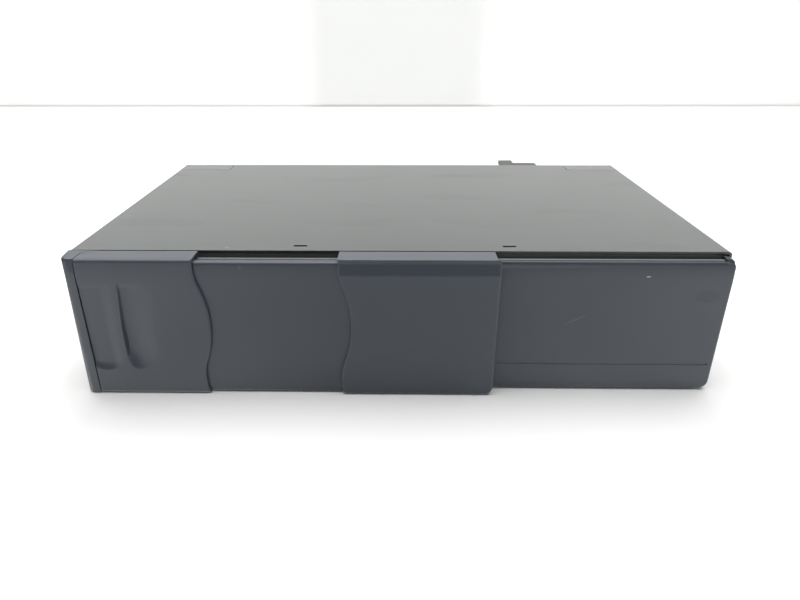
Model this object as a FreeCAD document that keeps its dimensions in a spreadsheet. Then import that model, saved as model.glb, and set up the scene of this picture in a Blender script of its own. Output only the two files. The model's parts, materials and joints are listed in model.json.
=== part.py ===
import FreeCAD, Part
import math
import os

import Sketcher

# Disc changer for a car boot. Lengths are millimetres.
# Each sub-part is drawn with x to the right, z up from the underside of the base,
# and y rearwards from the front edge of the top cover. Its Placement then moves it
# so that the origin is at the centre of the whole box's footprint.

SIZES = {
    # Sheet-metal casing
    "case_width": 257.0,
    "case_height": 58.5,
    "cover_depth": 153.7,
    "sheet": 1.0,
    "cover_corner_radius": 1.6,
    "cover_side_bottom": 2.2,
    "base_flange_height": 13.0,
    "base_fit": 0.1,
    "tab_slot_width": 4.4,
    "tab_slot_depth": 1.0,
    "tab_slot_back": 5.6,
    "tab_slot_left": 40.0,
    "tab_slot_right": 44.1,
    "corner_cap_width": 29.0,
    "corner_cap_depth": 13.0,
    "corner_cap_drop": 6.0,
    "corner_cap_radius": 3.0,
    "corner_cap_wall": 1.6,
    "corner_cap_gap": 0.4,
    "case_screw_radius": 1.5,
    "case_screw_head_radius": 2.7,
    "case_screw_head": 0.9,
    "case_screw_length": 3.2,
    "case_screw_height": 6.5,
    "case_screw_inset": 22.0,
    "bracket_hole_radius": 2.0,
    "bracket_hole_height": 9.0,
    "bracket_hole_front": 40.0,
    "bracket_hole_pitch": 80.0,
    "bracket_boss_radius": 3.6,
    "bracket_boss_length": 2.0,
    # Front frame
    "door_reach": 11.3,
    "bezel_face": 5.8,
    "bezel_wall": 1.4,
    "bezel_bottom": 0.8,
    "bezel_top_gap": 2.5,
    "bezel_corner_radius": 1.0,
    "column_corner_radius": 4.0,
    "bezel_foot_radius": 3.4,
    "bezel_head_radius": 2.4,
    "corner_fill_gap": 0.3,
    "left_column": 6.0,
    "right_column": 3.6,
    "opening_right": 15.6,
    "opening_bottom": 9.0,
    "opening_drop": 5.5,
    "slot_floor": 0.8,
    "track_height": 12.3,
    "track_gap": 0.7,
    "rail_radius": 0.8,
    "rail_drop": 3.1,
    "rail_back": 2.0,
    "running_fit": 0.05,
    # Doors
    "door_gap": 0.3,
    "door_bottom": 0.5,
    "door_lip": 1.3,
    "door_edge_back": 0.6,
    "grip_width": 44.6,
    "grip_thickness": 3.4,
    "grip_round": 1.5,
    "grip_flange_radius": 5.0,
    "wave_bulge": 4.4,
    "wave_foot": 8.0,
    "wave_head_drop": 3.4,
    "wave_blend_radius": 20.0,
    "valley_set_back": 1.6,
    "valley_thickness": 1.5,
    "valley_drop": 1.7,
    "valley_lip": 1.2,
    "inner_door_travel": 54.5,
    "outer_panel_left": -22.7,
    "outer_panel_right": 39.0,
    "outer_panel_thickness": 1.3,
    "panel_corner_radius": 3.2,
    "outer_door_travel": 86.5,
    "shoe_length": 10.0,
    "shoe_depth": 3.0,
    "stud_radius": 0.3,
    "scoop_radius": 24.0,
    "scoop_depth": 1.5,
    "scoop_half_width": 6.5,
    "scoop_height": 31.0,
    "scoop_inner": 21.0,
    "scoop_outer": 7.0,
    # Rear connector
    "latch_reach": 15.5,
    "socket_left": 62.4,
    "socket_width": 21.0,
    "socket_height": 11.0,
    "socket_top": 57.2,
    "socket_reach": 8.0,
    "socket_collar_drop": 0.3,
    "socket_wall": 1.2,
    "socket_bore_depth": 7.0,
    "latch_width": 7.8,
    "latch_thickness": 2.0,
    "pin_radius": 0.4,
    "pin_pitch": 3.6,
    "pin_length": 6.5,
    # Control board
    "board_thickness": 1.6,
    "board_stand_off": 4.5,
    "board_half_width": 116.0,
    "board_bottom": 8.0,
    "board_top": 52.0,
    "board_screw_radius": 1.3,
    "chip_height": 2.2,
    # Floating chassis and its suspension
    "float_side": 3.5,
    "float_travel": 1.2,
    "chassis_sheet": 1.0,
    "pan_height": 9.4,
    "chassis_drop": 3.3,
    "front_wall_y": 1.6,
    "rear_wall_y": 142.8,
    "damper_radius": 5.0,
    "damper_height": 6.0,
    "damper_pin_radius": 2.0,
    "damper_pin_fit": 0.06,
    "spring_wire": 0.7,
    "spring_radius": 6.4,
    "spring_turns": 4.0,
    # Magazine and trays
    "mag_gap": 1.0,
    "mag_width": 132.0,
    "mag_depth": 134.0,
    "mag_top_drop": 7.4,
    "mag_front": 4.0,
    "mag_wall": 1.6,
    "mag_rail_height": 2.1,
    "mag_travel": 9.5,
    "mag_corner_width": 14.0,
    "tray_count": 6.0,
    "tray_headroom": 6.2,
    "tray_plate": 1.0,
    "tray_rim": 1.5,
    "tray_side_gap": 1.9,
    "tray_front_gap": 5.8,
    "tray_length": 127.0,
    "tray_depth": 124.4,
    "tray_lift": 0.8,
    "tray_travel": 96.0,
    "disc_radius": 60.0,
    "disc_recess_gap": 0.7,
    "shelf_depth": 3.4,
    "shelf_thickness": 1.2,
    "shelf_gap": 0.35,
    "hook_notch": 3.6,
    # Lifting deck
    "deck_gap": 2.0,
    "deck_floor": 6.4,
    "deck_sheet": 1.0,
    "deck_wall_bottom": 4.0,
    "deck_wall_top": 20.3,
    "deck_front_y": 4.6,
    "deck_rear_y": 139.4,
    "deck_right": 107.5,
    "deck_rail_right": 121.5,
    "lift_pin_radius": 1.6,
    "lift_pin_height": 10.0,
    "lift_pin_first": 44.0,
    "lift_pin_second": 90.0,
    "cam_travel": 24.0,
    "cam_sheet": 0.8,
    "cam_gap": 0.4,
    "cam_margin": 6.0,
    # Player unit on the deck
    "hub_height": 2.0,
    "hub_radius": 7.4,
    "turntable_radius": 14.0,
    "turntable_thickness": 1.2,
    "motor_radius": 11.5,
    "motor_height": 6.0,
    "motor_shaft": 1.0,
    "post_radius": 1.5,
    "axle_radius": 1.0,
    "lens_drop": 2.3,
    "lens_radius": 3.0,
    "lens_height": 1.1,
    "traverse_sheet": 1.2,
    "traverse_left_reach": 24.5,
    "traverse_right_reach": 58.5,
    "shaft_radius": 1.2,
    "shaft_spread": 16.2,
    "shaft_height": 6.0,
    "pickup_start": 24.0,
    "pickup_travel": 32.5,
    "gear_module": 0.8,
    "sled_pinion_teeth": 10.0,
    "sled_wheel_teeth": 24.0,
    "sled_motor_teeth": 8.0,
    "lift_pinion_teeth": 10.0,
    "lift_wheel_teeth": 40.0,
    "lift_idler_teeth": 33.0,
    "lift_motor_teeth": 15.0,
    "lift_motor_radius": 6.0,
    "lift_motor_length": 15.0,
    "clamp_sheet": 0.8,
    "clamp_pin_radius": 0.9,
    "puck_radius": 12.0,
    "belt_radius": 2.6,
    "belt_thickness": 0.6,
    "belt_width": 3.0,
    "pulley_height": 8.2,
    "pulley_axle": 0.8,
    "draw_motor_length": 22.0,
    # Eject parts
    "button_width": 3.0,
    "button_height": 12.0,
    "button_drop": 6.3,
    "button_front": 7.0,
    "button_fit": 0.2,
    "lever_arm": 7.0,
    "lever_offset": 10.0,
    "lever_pivot_y": 40.0,
    "pusher_width": 16.0,
    "pusher_spring_length": 40.0,
    "pusher_spring_turns": 14.0,
}


class Size:
    """A number together with the sheet formula that it comes from."""

    def __init__(self, value, text):
        self.value = value
        self.text = text

    def join(self, other, sign, value):
        return Size(value, "(" + self.text + " " + sign + " " + as_size(other).text + ")")

    def __add__(self, other):
        return self.join(other, "+", self.value + as_size(other).value)

    def __radd__(self, other):
        return as_size(other) + self

    def __sub__(self, other):
        return self.join(other, "-", self.value - as_size(other).value)

    def __rsub__(self, other):
        return as_size(other) - self

    def __mul__(self, other):
        return self.join(other, "*", self.value * as_size(other).value)

    def __rmul__(self, other):
        return as_size(other) * self

    def __truediv__(self, other):
        return self.join(other, "/", self.value / as_size(other).value)

    def __neg__(self):
        return as_size(0) - self


def as_size(value):
    if isinstance(value, Size):
        return value
    return Size(float(value), repr(float(value)))


class Sheet:
    """The spreadsheet's rows, read as sizes."""

    def __getattr__(self, alias):
        return Size(SIZES[alias], "sizes." + alias)


doc = FreeCAD.newDocument("disc_changer")
table = doc.addObject("Spreadsheet::Sheet", "sizes")
for number, (alias, value) in enumerate(SIZES.items(), 1):
    table.set("A" + str(number), alias)
    table.set("B" + str(number), str(value))
    table.setAlias("B" + str(number), alias)
doc.recompute()
s = Sheet()
nodes = []

EDGE_Y = (s.door_reach - s.cover_depth - s.latch_reach) / 2
DRAWN_Y = {}
PLANES = {"z": "XY_Plane", "y": "XZ_Plane", "x": "YZ_Plane"}
TURNS = {
    "x": FreeCAD.Rotation(FreeCAD.Vector(0, 1, 0), 90),
    "y": FreeCAD.Rotation(FreeCAD.Vector(1, 0, 0), -90),
    "z": FreeCAD.Rotation(),
}


def bind(obj, prop, value):
    """Set one property from a size, through an expression on the sheet."""
    obj.setExpression(prop, as_size(value).text)


def place(obj, x, y, z, turn=None):
    obj.Placement = FreeCAD.Placement(FreeCAD.Vector(), turn or FreeCAD.Rotation())
    put(obj, x, y, z)


def put(obj, x, y, z):
    """Move an object and keep its turn."""
    bind(obj, "Placement.Base.x", x)
    bind(obj, "Placement.Base.y", y)
    bind(obj, "Placement.Base.z", z)
    DRAWN_Y[obj.Name] = as_size(y)


def finish(label, obj):
    """Name a sub-part and move it from the drawing origin to the part's origin."""
    obj.Label = label
    bind(obj, "Placement.Base.y", DRAWN_Y.get(obj.Name, as_size(0)) + EDGE_Y)
    nodes.append(obj)
    return obj


# Primitive solids and booleans


def box(x, y, z):
    """A block between two x, two y and two z values."""
    solid = doc.addObject("Part::Box", "block")
    bind(solid, "Length", as_size(x[1]) - x[0])
    bind(solid, "Width", as_size(y[1]) - y[0])
    bind(solid, "Height", as_size(z[1]) - z[0])
    place(solid, x[0], y[0], z[0])
    return solid


def rod(axis, radius, start, length):
    """A round bar from its start point along an axis."""
    solid = doc.addObject("Part::Cylinder", "bar")
    bind(solid, "Radius", radius)
    bind(solid, "Height", length)
    place(solid, *start, turn=TURNS[axis])
    return solid


def fuse(*solids):
    joined = doc.addObject("Part::MultiFuse", "joined")
    joined.Shapes = list(solids)
    joined.Refine = True
    return joined


def cut(solid, *tools):
    trimmed = doc.addObject("Part::Cut", "trimmed")
    trimmed.Base = solid
    trimmed.Tool = tools[0] if len(tools) == 1 else fuse(*tools)
    trimmed.Refine = True
    return trimmed


def group(*solids):
    """Separate solids that share one sub-part."""
    together = doc.addObject("Part::Compound", "together")
    together.Links = list(solids)
    return together


# Sketched bodies


def new_body(name):
    return doc.addObject("PartDesign::Body", name)


def draw(sketch, path):
    """Add one closed outline. A point is (u, v), or (u, v, r) where an arc leads to it.

    A positive r turns left. An outline of the form ("circle", u, v, r) is a full circle.
    """
    first = sketch.GeometryCount
    if path[0] == "circle":
        centre = FreeCAD.Vector(as_size(path[1]).value, as_size(path[2]).value, 0)
        sketch.addGeometry(Part.Circle(centre, FreeCAD.Vector(0, 0, 1), as_size(path[3]).value))
        fix(sketch, first, 3, path[1], path[2])
        limit(sketch, Sketcher.Constraint("Radius", first, as_size(path[3]).value), path[3])
        return
    ends = []
    for index, point in enumerate(path):
        before = path[index - 1]
        start = FreeCAD.Vector(as_size(before[0]).value, as_size(before[1]).value, 0)
        end = FreeCAD.Vector(as_size(point[0]).value, as_size(point[1]).value, 0)
        if len(point) == 2:
            sketch.addGeometry(Part.LineSegment(start, end))
            ends.append((1, 2))
            continue
        radius = as_size(point[2]).value
        half = (end - start).Length / 2
        rise = abs(radius) - math.sqrt(max(radius * radius - half * half, 0.0))
        side = FreeCAD.Vector(end.y - start.y, start.x - end.x, 0).normalize()
        middle = (start + end) / 2 + side * (rise if radius > 0 else -rise)
        sketch.addGeometry(Part.Arc(start, middle, end))
        ends.append((1, 2) if radius > 0 else (2, 1))
    for index, point in enumerate(path):
        piece = first + index
        before = first + (index - 1) % len(path)
        link = Sketcher.Constraint("Coincident", before, ends[index - 1][1], piece, ends[index][0])
        sketch.addConstraint(link)
        fix(sketch, piece, ends[index][1], point[0], point[1])
        if len(point) == 3:
            radius = as_size(point[2])
            if radius.value < 0:
                radius = -radius
            limit(sketch, Sketcher.Constraint("Radius", piece, radius.value), radius)


def fix(sketch, piece, end, u, v):
    """Hold one point of a sketch at its distances from the sketch's origin."""
    for kind, size in (("DistanceX", as_size(u)), ("DistanceY", as_size(v))):
        limit(sketch, Sketcher.Constraint(kind, -1, 1, piece, end, size.value), size)


def limit(sketch, constraint, size):
    number = sketch.addConstraint(constraint)
    sketch.setExpression("Constraints[" + str(number) + "]", as_size(size).text)


def sketch_on(body, axis, level, paths):
    """A sketch square to an axis, at a level along it."""
    origin = {plane.Role: plane for plane in body.Origin.OriginFeatures}
    sketch = body.newObject("Sketcher::SketchObject", "outline")
    sketch.AttachmentSupport = (origin[PLANES[axis]], [""])
    sketch.MapMode = "FlatFace"
    bind(sketch, "AttachmentOffset.Base.z", -as_size(level) if axis == "y" else level)
    for path in paths:
        draw(sketch, path)
    return sketch


def pad(body, axis, span, *paths):
    """Fill outlines between two levels of an axis: (x, y) on z, (x, z) on y, (y, z) on x."""
    level = span[1] if axis == "y" else span[0]
    feature = body.newObject("PartDesign::Pad", "pad")
    feature.Profile = sketch_on(body, axis, level, paths)
    bind(feature, "Length", as_size(span[1]) - span[0])
    return feature


def pocket(body, axis, span, *paths):
    """Cut outlines out of a body between two levels of an axis."""
    level = span[0] if axis == "y" else span[1]
    feature = body.newObject("PartDesign::Pocket", "pocket")
    feature.Profile = sketch_on(body, axis, level, paths)
    bind(feature, "Length", as_size(span[1]) - span[0])
    return feature


def ordered(first, second):
    """The same two values, the smaller one first."""
    if as_size(first).value < as_size(second).value:
        return (first, second)
    return (second, first)


def rectangle(u, v):
    return [(u[0], v[0]), (u[1], v[0]), (u[1], v[1]), (u[0], v[1])]


def rounded(u, v, radius):
    """A rectangle with four round corners."""
    return [
        (u[0] + radius, v[0]),
        (u[1] - radius, v[0]),
        (u[1], v[0] + radius, radius),
        (u[1], v[1] - radius),
        (u[1] - radius, v[1], radius),
        (u[0] + radius, v[1]),
        (u[0], v[1] - radius, radius),
        (u[0], v[0] + radius),
        (u[0] + radius, v[0], radius),
    ][1:]


def dress(body, kind, size, wanted):
    """Round or bevel the edges of a body for which wanted(edge) is true."""
    doc.recompute()
    base = body.Tip
    names = [
        "Edge" + str(number)
        for number, edge in enumerate(base.Shape.Edges, 1)
        if wanted(edge)
    ]
    feature = body.newObject("PartDesign::" + kind, kind.lower())
    feature.Base = (base, names)
    bind(feature, "Radius" if kind == "Fillet" else "Size", size)
    return feature


def at(edge, **places):
    """Whether an edge lies at the given x, y or z all along."""
    limits = edge.BoundBox
    spans = {
        "x": (limits.XMin, limits.XMax),
        "y": (limits.YMin, limits.YMax),
        "z": (limits.ZMin, limits.ZMax),
    }
    close = 0.01
    for axis, value in places.items():
        wanted = as_size(value).value
        if abs(spans[axis][0] - wanted) > close or abs(spans[axis][1] - wanted) > close:
            return False
    return True


# Places that several sub-parts share

half_width = s.case_width / 2
inner_half = half_width - s.sheet
ceiling = s.case_height - s.sheet
face = -s.door_reach
bezel_front = -s.bezel_face
bezel_back = bezel_front + s.bezel_wall
bezel_top = s.case_height - s.bezel_top_gap
opening_top = s.case_height - s.opening_drop
rail_height = s.case_height - s.rail_drop
chassis_top = s.case_height - s.chassis_drop
button_top = s.case_height - s.button_drop
rear_face = s.cover_depth
lip_top = s.case_height - 0.1
lip_bottom = lip_top - s.door_lip
grip_left = s.left_column + 0.3 - half_width
grip_right = grip_left + s.grip_width
valley_face = face + s.valley_set_back
valley_back = valley_face + s.valley_thickness
valley_top = lip_top - s.valley_drop
valley_right = s.outer_panel_right - s.outer_panel_thickness - s.inner_door_travel - 0.4

rail_end = half_width - 2

chassis_left = s.float_side - inner_half
chassis_right = inner_half - s.float_side
pan_top = s.pan_height + s.chassis_sheet
mag_left = chassis_left + s.chassis_sheet + s.mag_gap
mag_right = mag_left + s.mag_width
mag_bottom = pan_top + s.mag_rail_height
mag_top = s.case_height - s.mag_top_drop
mag_rear = s.mag_front + s.mag_depth
tray_left = mag_left + s.mag_wall + s.tray_side_gap
tray_right = tray_left + s.tray_length
tray_front = s.mag_front + s.tray_front_gap
tray_rear = tray_front + s.tray_depth
level = mag_bottom + s.mag_wall + s.tray_lift
lift_travel = mag_top - s.tray_headroom - level
tray_pitch = lift_travel / (s.tray_count - 1)
lever_x = mag_right + s.lever_offset
disc_x = (tray_left + tray_right) / 2
disc_y = (tray_front + tray_rear) / 2
spindle_x = disc_x + s.tray_travel
deck_left = mag_right + s.deck_gap
flange_top = level - 0.4 - s.hub_height
traverse_top = flange_top - s.turntable_thickness - 0.7
traverse_bottom = traverse_top - s.traverse_sheet
front_cam_y = s.deck_front_y - s.cam_gap * 2 - s.cam_sheet
rear_cam_y = s.deck_rear_y + s.deck_sheet + s.cam_gap * 2


# Casing


def top_cover():
    """Folded cover: the top and both sides, open at the front, rear and bottom."""
    body = new_body("top_cover")
    outer = s.cover_corner_radius
    inner = s.cover_corner_radius - s.sheet
    pad(body, "y", (0, s.cover_depth), [
        (half_width, s.cover_side_bottom),
        (half_width, s.case_height - outer),
        (half_width - outer, s.case_height, outer),
        (outer - half_width, s.case_height),
        (-half_width, s.case_height - outer, outer),
        (-half_width, s.cover_side_bottom),
        (-inner_half, s.cover_side_bottom),
        (-inner_half, ceiling - inner),
        (inner - inner_half, ceiling, -inner),
        (inner_half - inner, ceiling),
        (inner_half, ceiling - inner, -inner),
        (inner_half, s.cover_side_bottom),
    ])
    slots = []
    for middle in (-s.tab_slot_left, s.tab_slot_right):
        half = s.tab_slot_width / 2
        slots.append(rectangle((middle - half, middle + half),
                               (s.tab_slot_back, s.tab_slot_back + s.tab_slot_depth)))
    pocket(body, "z", (ceiling - 1, s.case_height + 1), *slots)
    for side in (-1, 1):
        inside = side * (inner_half - s.corner_cap_width - s.corner_cap_gap)
        outside = side * (inner_half + 0.01)
        front = s.cover_depth - s.corner_cap_depth - s.corner_cap_gap
        radius = s.corner_cap_radius
        pocket(body, "z", (ceiling - 2, s.case_height + 1), [
            (inside, s.cover_depth + 1),
            (inside, front + radius),
            (inside + side * radius, front, radius if side > 0 else -radius),
            (outside, front),
            (outside, s.cover_depth + 1),
        ])
    screws = [("circle", y, s.case_screw_height, s.case_screw_head_radius + 0.1)
              for y in side_screw_places()]
    brackets = [("circle", y, s.bracket_hole_height, s.bracket_boss_radius) for y in bracket_places()]
    for span in ((-half_width - 1, 1 - inner_half), (inner_half - 1, half_width + 1)):
        pocket(body, "x", span, *screws, *brackets)
    return finish("top_cover", body)


def side_screw_places():
    return (s.case_screw_inset, s.cover_depth - s.case_screw_inset)


def bracket_places():
    return (s.bracket_hole_front, s.bracket_hole_front + s.bracket_hole_pitch)


def base_plate():
    """Base tray: a flat bottom with turned-up sides, and stamped feet for the dampers."""
    body = new_body("base_plate")
    out = inner_half - s.base_fit
    pad(body, "y", (0.5, rear_face - s.sheet - s.base_fit), [
        (out, 0),
        (out, s.base_flange_height),
        (out - s.sheet, s.base_flange_height),
        (out - s.sheet, s.sheet),
        (s.sheet - out, s.sheet),
        (s.sheet - out, s.base_flange_height),
        (-out, s.base_flange_height),
        (-out, 0),
    ])
    for span in ((-out, 0.8 - out), (out - 0.8, out)):
        for y in bracket_places():
            inner = (span[0], span[0] + s.bracket_boss_length)
            if span[0].value > 0:
                inner = (span[1] - s.bracket_boss_length, span[1])
            pad(body, "x", inner, ("circle", y, s.bracket_hole_height, s.bracket_boss_radius))
    screws = [("circle", y, s.case_screw_height, s.case_screw_radius) for y in side_screw_places()]
    holes = [("circle", y, s.bracket_hole_height, s.bracket_hole_radius) for y in bracket_places()]
    for span in ((-out - 1, 4 - out), (out - 4, out + 1)):
        pocket(body, "x", span, *screws, *holes)
    return finish("base_plate", body)


def socket_hole_x():
    return (s.socket_left, s.socket_left + s.socket_width)


def rear_panel():
    """Flat back wall, cut away for the socket and for the two corner caps."""
    out = inner_half - s.base_fit
    body = new_body("rear_panel")
    low = s.case_height - s.corner_cap_drop - s.corner_cap_gap
    wing = inner_half - s.corner_cap_width - s.corner_cap_gap
    top = ceiling - s.base_fit
    pad(body, "y", (rear_face - s.sheet, rear_face), [
        (out, s.sheet), (out, low), (wing, low), (wing, top),
        (-wing, top), (-wing, low), (-out, low), (-out, s.sheet),
    ])
    x = socket_hole_x()
    fit = 0.2
    pocket(body, "y", (rear_face - 3, rear_face + 1),
           rectangle((x[0] - fit, x[1] + fit),
                     (s.socket_top - s.socket_height - fit, s.socket_top + fit)))
    posts = [("circle", x, z, 2.6) for x, z in board_screw_places()]
    pad(body, "y", (board_rear(), rear_face - s.sheet), *posts)
    screws = [("circle", x, z, s.board_screw_radius) for x, z in board_screw_places()]
    pocket(body, "y", (board_rear() - 1, rear_face - s.sheet), *screws)
    return finish("rear_panel", body)


def corner_caps():
    """Two moulded corner pieces that close the cover's rear notches."""
    caps = []
    for side in (-1, 1):
        body = new_body("corner_cap")
        inside = side * (inner_half - s.corner_cap_width)
        outside = side * (inner_half - 0.05)
        front = rear_face - s.corner_cap_depth
        radius = s.corner_cap_radius
        low = s.case_height - s.corner_cap_drop
        wall = s.corner_cap_wall
        pad(body, "z", (s.case_height - wall, s.case_height), [
            (inside, rear_face),
            (inside, front + radius),
            (inside + side * radius, front, radius if side > 0 else -radius),
            (outside, front),
            (outside, rear_face),
        ])
        pad(body, "z", (low, s.case_height - wall),
            rectangle(ordered(inside, outside), (rear_face - wall, rear_face)))
        pad(body, "z", (low, s.case_height - wall),
            rectangle(ordered(outside - side * wall, outside), (front, rear_face)))
        caps.append(body)
    return finish("corner_caps", group(*caps))


def case_screws():
    """Two flat-head screws in each side, sunk in the cover and driven into the base."""
    screws = []
    for side in (-1, 1):
        surface = side * half_width
        for y in side_screw_places():
            z = s.case_screw_height
            inner = ordered(surface - side * s.case_screw_length, surface)
            under = ordered(surface - side * s.case_screw_head, surface)
            slot_x = ordered(surface - side * 0.5, surface + side)
            shank = rod("x", s.case_screw_radius, (inner[0], y, z), s.case_screw_length)
            head = rod("x", s.case_screw_head_radius, (under[0], y, z), s.case_screw_head)
            slot = box(slot_x, (y - 0.4, y + 0.4), (z - 2, z + 2))
            screws.append(cut(fuse(shank, head), slot))
    return finish("case_screws", group(*screws))


# Front frame and doors


def right_post(top):
    """Outline of the front frame's right end up to a height, with round outer corners."""
    inside = half_width - s.right_column
    low = s.bezel_bottom
    foot = s.bezel_foot_radius
    head = s.bezel_head_radius
    return [
        (inside, low), (half_width - foot, low), (half_width, low + foot, foot),
        (half_width, top - head), (half_width - head, top, head), (inside, top),
    ]


def front_bezel():
    """Moulded front frame: fixed right section, left column, top channel and lower track."""
    body = new_body("front_bezel")
    low = s.bezel_bottom
    right = half_width
    left = s.left_column - half_width
    foot = s.bezel_foot_radius
    head = s.bezel_head_radius
    pad(body, "y", (bezel_front, bezel_back), [
        (left, low), (right - foot, low), (right, low + foot, foot),
        (right, bezel_top - head), (right - head, bezel_top, head), (s.opening_right, bezel_top),
        (s.opening_right, s.opening_bottom), (left, s.opening_bottom),
    ])
    pad(body, "y", (face, 0), rectangle((-half_width, left), (low, lip_top)))
    pad(body, "y", (bezel_front, 0), right_post(bezel_top))
    pad(body, "y", (-s.rail_back - 1.5, 0), right_post(bezel_top + 1))
    channel = (opening_top, opening_top + s.slot_floor)
    pad(body, "y", (bezel_front, 0), rectangle((left - 1, right - 1), channel))
    pad(body, "y", (bezel_front, bezel_back),
        rectangle((left - 1, s.opening_right + 1), (opening_top, valley_top - s.valley_lip - 0.3)))
    pad(body, "z", (low, low + 1.6), rectangle((left - 1, right - foot), (bezel_front, 0)))
    guide_left = s.opening_right - s.button_width - 1.4
    guide_back = s.front_wall_y - 0.6
    pad(body, "y", (bezel_back - 0.4, guide_back), rectangle(
        (guide_left, s.opening_right + 1),
        (button_top - s.button_height - 1.4, opening_top + s.slot_floor)))
    pad(body, "y", (bezel_front, bezel_back), rectangle(
        (guide_left, s.opening_right + 1),
        (button_top - s.button_height - 1.4, opening_top + s.slot_floor)))
    button = button_span()
    fit = s.button_fit
    pocket(body, "y", (bezel_front - 1, 3), rectangle(
        (button[0] - fit, button[1] + fit),
        (button_top - s.button_height - fit, button_top + fit)))
    pocket(body, "y", (bezel_front - 1, bezel_back + 1), rectangle(
        (s.outer_panel_right - 1.8, s.outer_panel_right + s.outer_door_travel + 0.6),
        (s.track_height - s.track_gap / 2, s.track_height + s.track_gap / 2)))
    pocket(body, "x", (-rail_end, rail_end), ("circle", -s.rail_back, rail_height, s.rail_radius))
    turn = s.grip_flange_radius + s.corner_fill_gap
    corner_y = s.corner_fill_gap - s.door_edge_back
    pad(body, "z", (lip_bottom + 0.4, lip_top), [
        (left - 1, 0), (left - 1, corner_y - turn), (left, corner_y - turn),
        (left + turn, corner_y, -turn), (left + turn, 0),
    ])
    dress(body, "Fillet", s.bezel_corner_radius, lambda edge: at(edge, x=right, y=bezel_front)
          and edge.BoundBox.ZLength > 20)
    dress(body, "Fillet", s.column_corner_radius, lambda edge: at(edge, x=-half_width, y=face))
    return finish("front_bezel", body)


def guide_rail():
    """Steel rod in the top channel that both doors hang on."""
    start = (-rail_end, -s.rail_back, rail_height)
    return finish("guide_rail", rod("x", s.rail_radius, start, rail_end * 2))


def wave(base, far, top):
    """Points up the wavy joint between the doors, from its foot to its head."""
    bulge = s.wave_bulge
    head = lip_top - s.wave_head_drop
    half = (head - s.wave_foot) / 2
    blend = s.wave_blend_radius
    both = (half * half + bulge * bulge) / (bulge * 2)
    share = blend / both
    main = both - blend
    middle = (head + s.wave_foot) / 2
    turn_z = half * share
    turn_x = bulge * share
    return [
        (base, far),
        (base, middle - half),
        (base + turn_x, middle - half + turn_z, -blend),
        (base + turn_x, middle + half - turn_z, main),
        (base, middle + half, -blend),
        (base, top),
    ]


def shoe(body, left):
    """A sliding shoe under a door's top flange, bored for the guide rail."""
    half = s.shoe_depth / 2
    pad(body, "x", (left, left + s.shoe_length),
        rectangle((-s.rail_back - half, 0.2 - s.door_edge_back), (rail_height - 1.2, lip_bottom + 0.2)))
    pocket(body, "x", (left - 1, left + s.shoe_length + 1),
           ("circle", -s.rail_back, rail_height, s.rail_radius + s.running_fit))


def inner_door():
    """Left door: a thick grip panel and the thin plate that slides behind the outer door."""
    body = new_body("inner_door")
    top = lip_top
    low = s.door_bottom
    edge = wave(grip_right, low, top)
    pad(body, "y", (face, face + s.grip_thickness),
        [(grip_left, top), (grip_left, low)] + edge)
    pad(body, "y", (valley_face, valley_back),
        rectangle((grip_right - 3, valley_right), (low, valley_top)))
    pad(body, "z", (lip_bottom, lip_top), [
        (grip_left, face + 1), (grip_right, face + 1),
        (grip_right, -s.door_edge_back),
        (grip_left + s.grip_flange_radius, -s.door_edge_back),
        (grip_left, -s.door_edge_back - s.grip_flange_radius, s.grip_flange_radius),
    ])
    pad(body, "z", (valley_top - s.valley_lip, valley_top),
        rectangle((grip_right - 3, valley_right), (valley_back - 0.5, bezel_front - 0.4)))
    for left in (grip_left + 3, grip_right - s.shoe_length):
        shoe(body, left)
    dress(body, "Fillet", s.grip_round, lambda line: at(line, y=face, z=top) or at(line, y=face, z=low))
    dress(body, "Fillet", 0.8, lambda line: at(line, y=valley_face, z=valley_top))
    for middle in (grip_left + s.scoop_outer, grip_left + s.scoop_inner):
        scoop = body.newObject("PartDesign::SubtractiveEllipsoid", "scoop")
        bind(scoop, "Radius2", s.scoop_half_width)
        bind(scoop, "Radius3", s.scoop_depth)
        bind(scoop, "Radius1", s.scoop_radius - 5)
        place(scoop, middle, face, s.scoop_height)
    return finish("inner_door", body)


def outer_door():
    """Middle door: a thin panel whose left edge repeats the grip's wave."""
    body = new_body("outer_door")
    top = lip_top
    low = s.door_bottom
    left = s.outer_panel_left
    right = s.outer_panel_right
    thick = s.outer_panel_thickness
    round_corner = s.panel_corner_radius
    edge = wave(left, low, top)
    edge.reverse()
    path = [edge[0]]
    for before, point in zip(edge, edge[1:]):
        path.append((point[0], point[1], -before[2]) if len(before) == 3 else point[:2])
    pad(body, "y", (face, face + thick), path + [
        (right - round_corner, low), (right, low + round_corner, round_corner), (right, top),
    ])
    pad(body, "y", (face + thick, bezel_front - s.door_gap),
        rectangle((right - thick, right), (low + round_corner, lip_bottom + 0.1)))
    pad(body, "z", (lip_bottom, lip_top),
        rectangle((left, right), (face + 0.6, -s.door_edge_back)))
    for start in (left + 1, right - s.shoe_length - 2):
        shoe(body, start)
    pad(body, "y", (bezel_front - s.door_gap - 0.1, bezel_back + 0.8),
        ("circle", right - thick / 2, s.track_height, s.stud_radius))
    dress(body, "Fillet", 1.1, lambda line: at(line, y=face, z=top))
    return finish("outer_door", body)


# Rear socket and control board


def board_rear():
    return rear_face - s.sheet - s.board_stand_off


def board_front():
    return board_rear() - s.board_thickness


def board_screw_places():
    x = s.board_half_width - 5
    return [(-x, s.board_bottom + 4), (x, s.board_bottom + 4), (-x, s.board_top - 6), (x, s.board_top - 6)]


def main_board():
    body = new_body("main_board")
    half = s.board_half_width
    pad(body, "y", (board_front(), board_rear()),
        rectangle((-half, half), (s.board_bottom, s.board_top)))
    pocket(body, "y", (board_front() - 1, board_rear() + 1),
           *[("circle", x, z, s.board_screw_radius + 0.1) for x, z in board_screw_places()])
    return finish("main_board", body)


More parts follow.
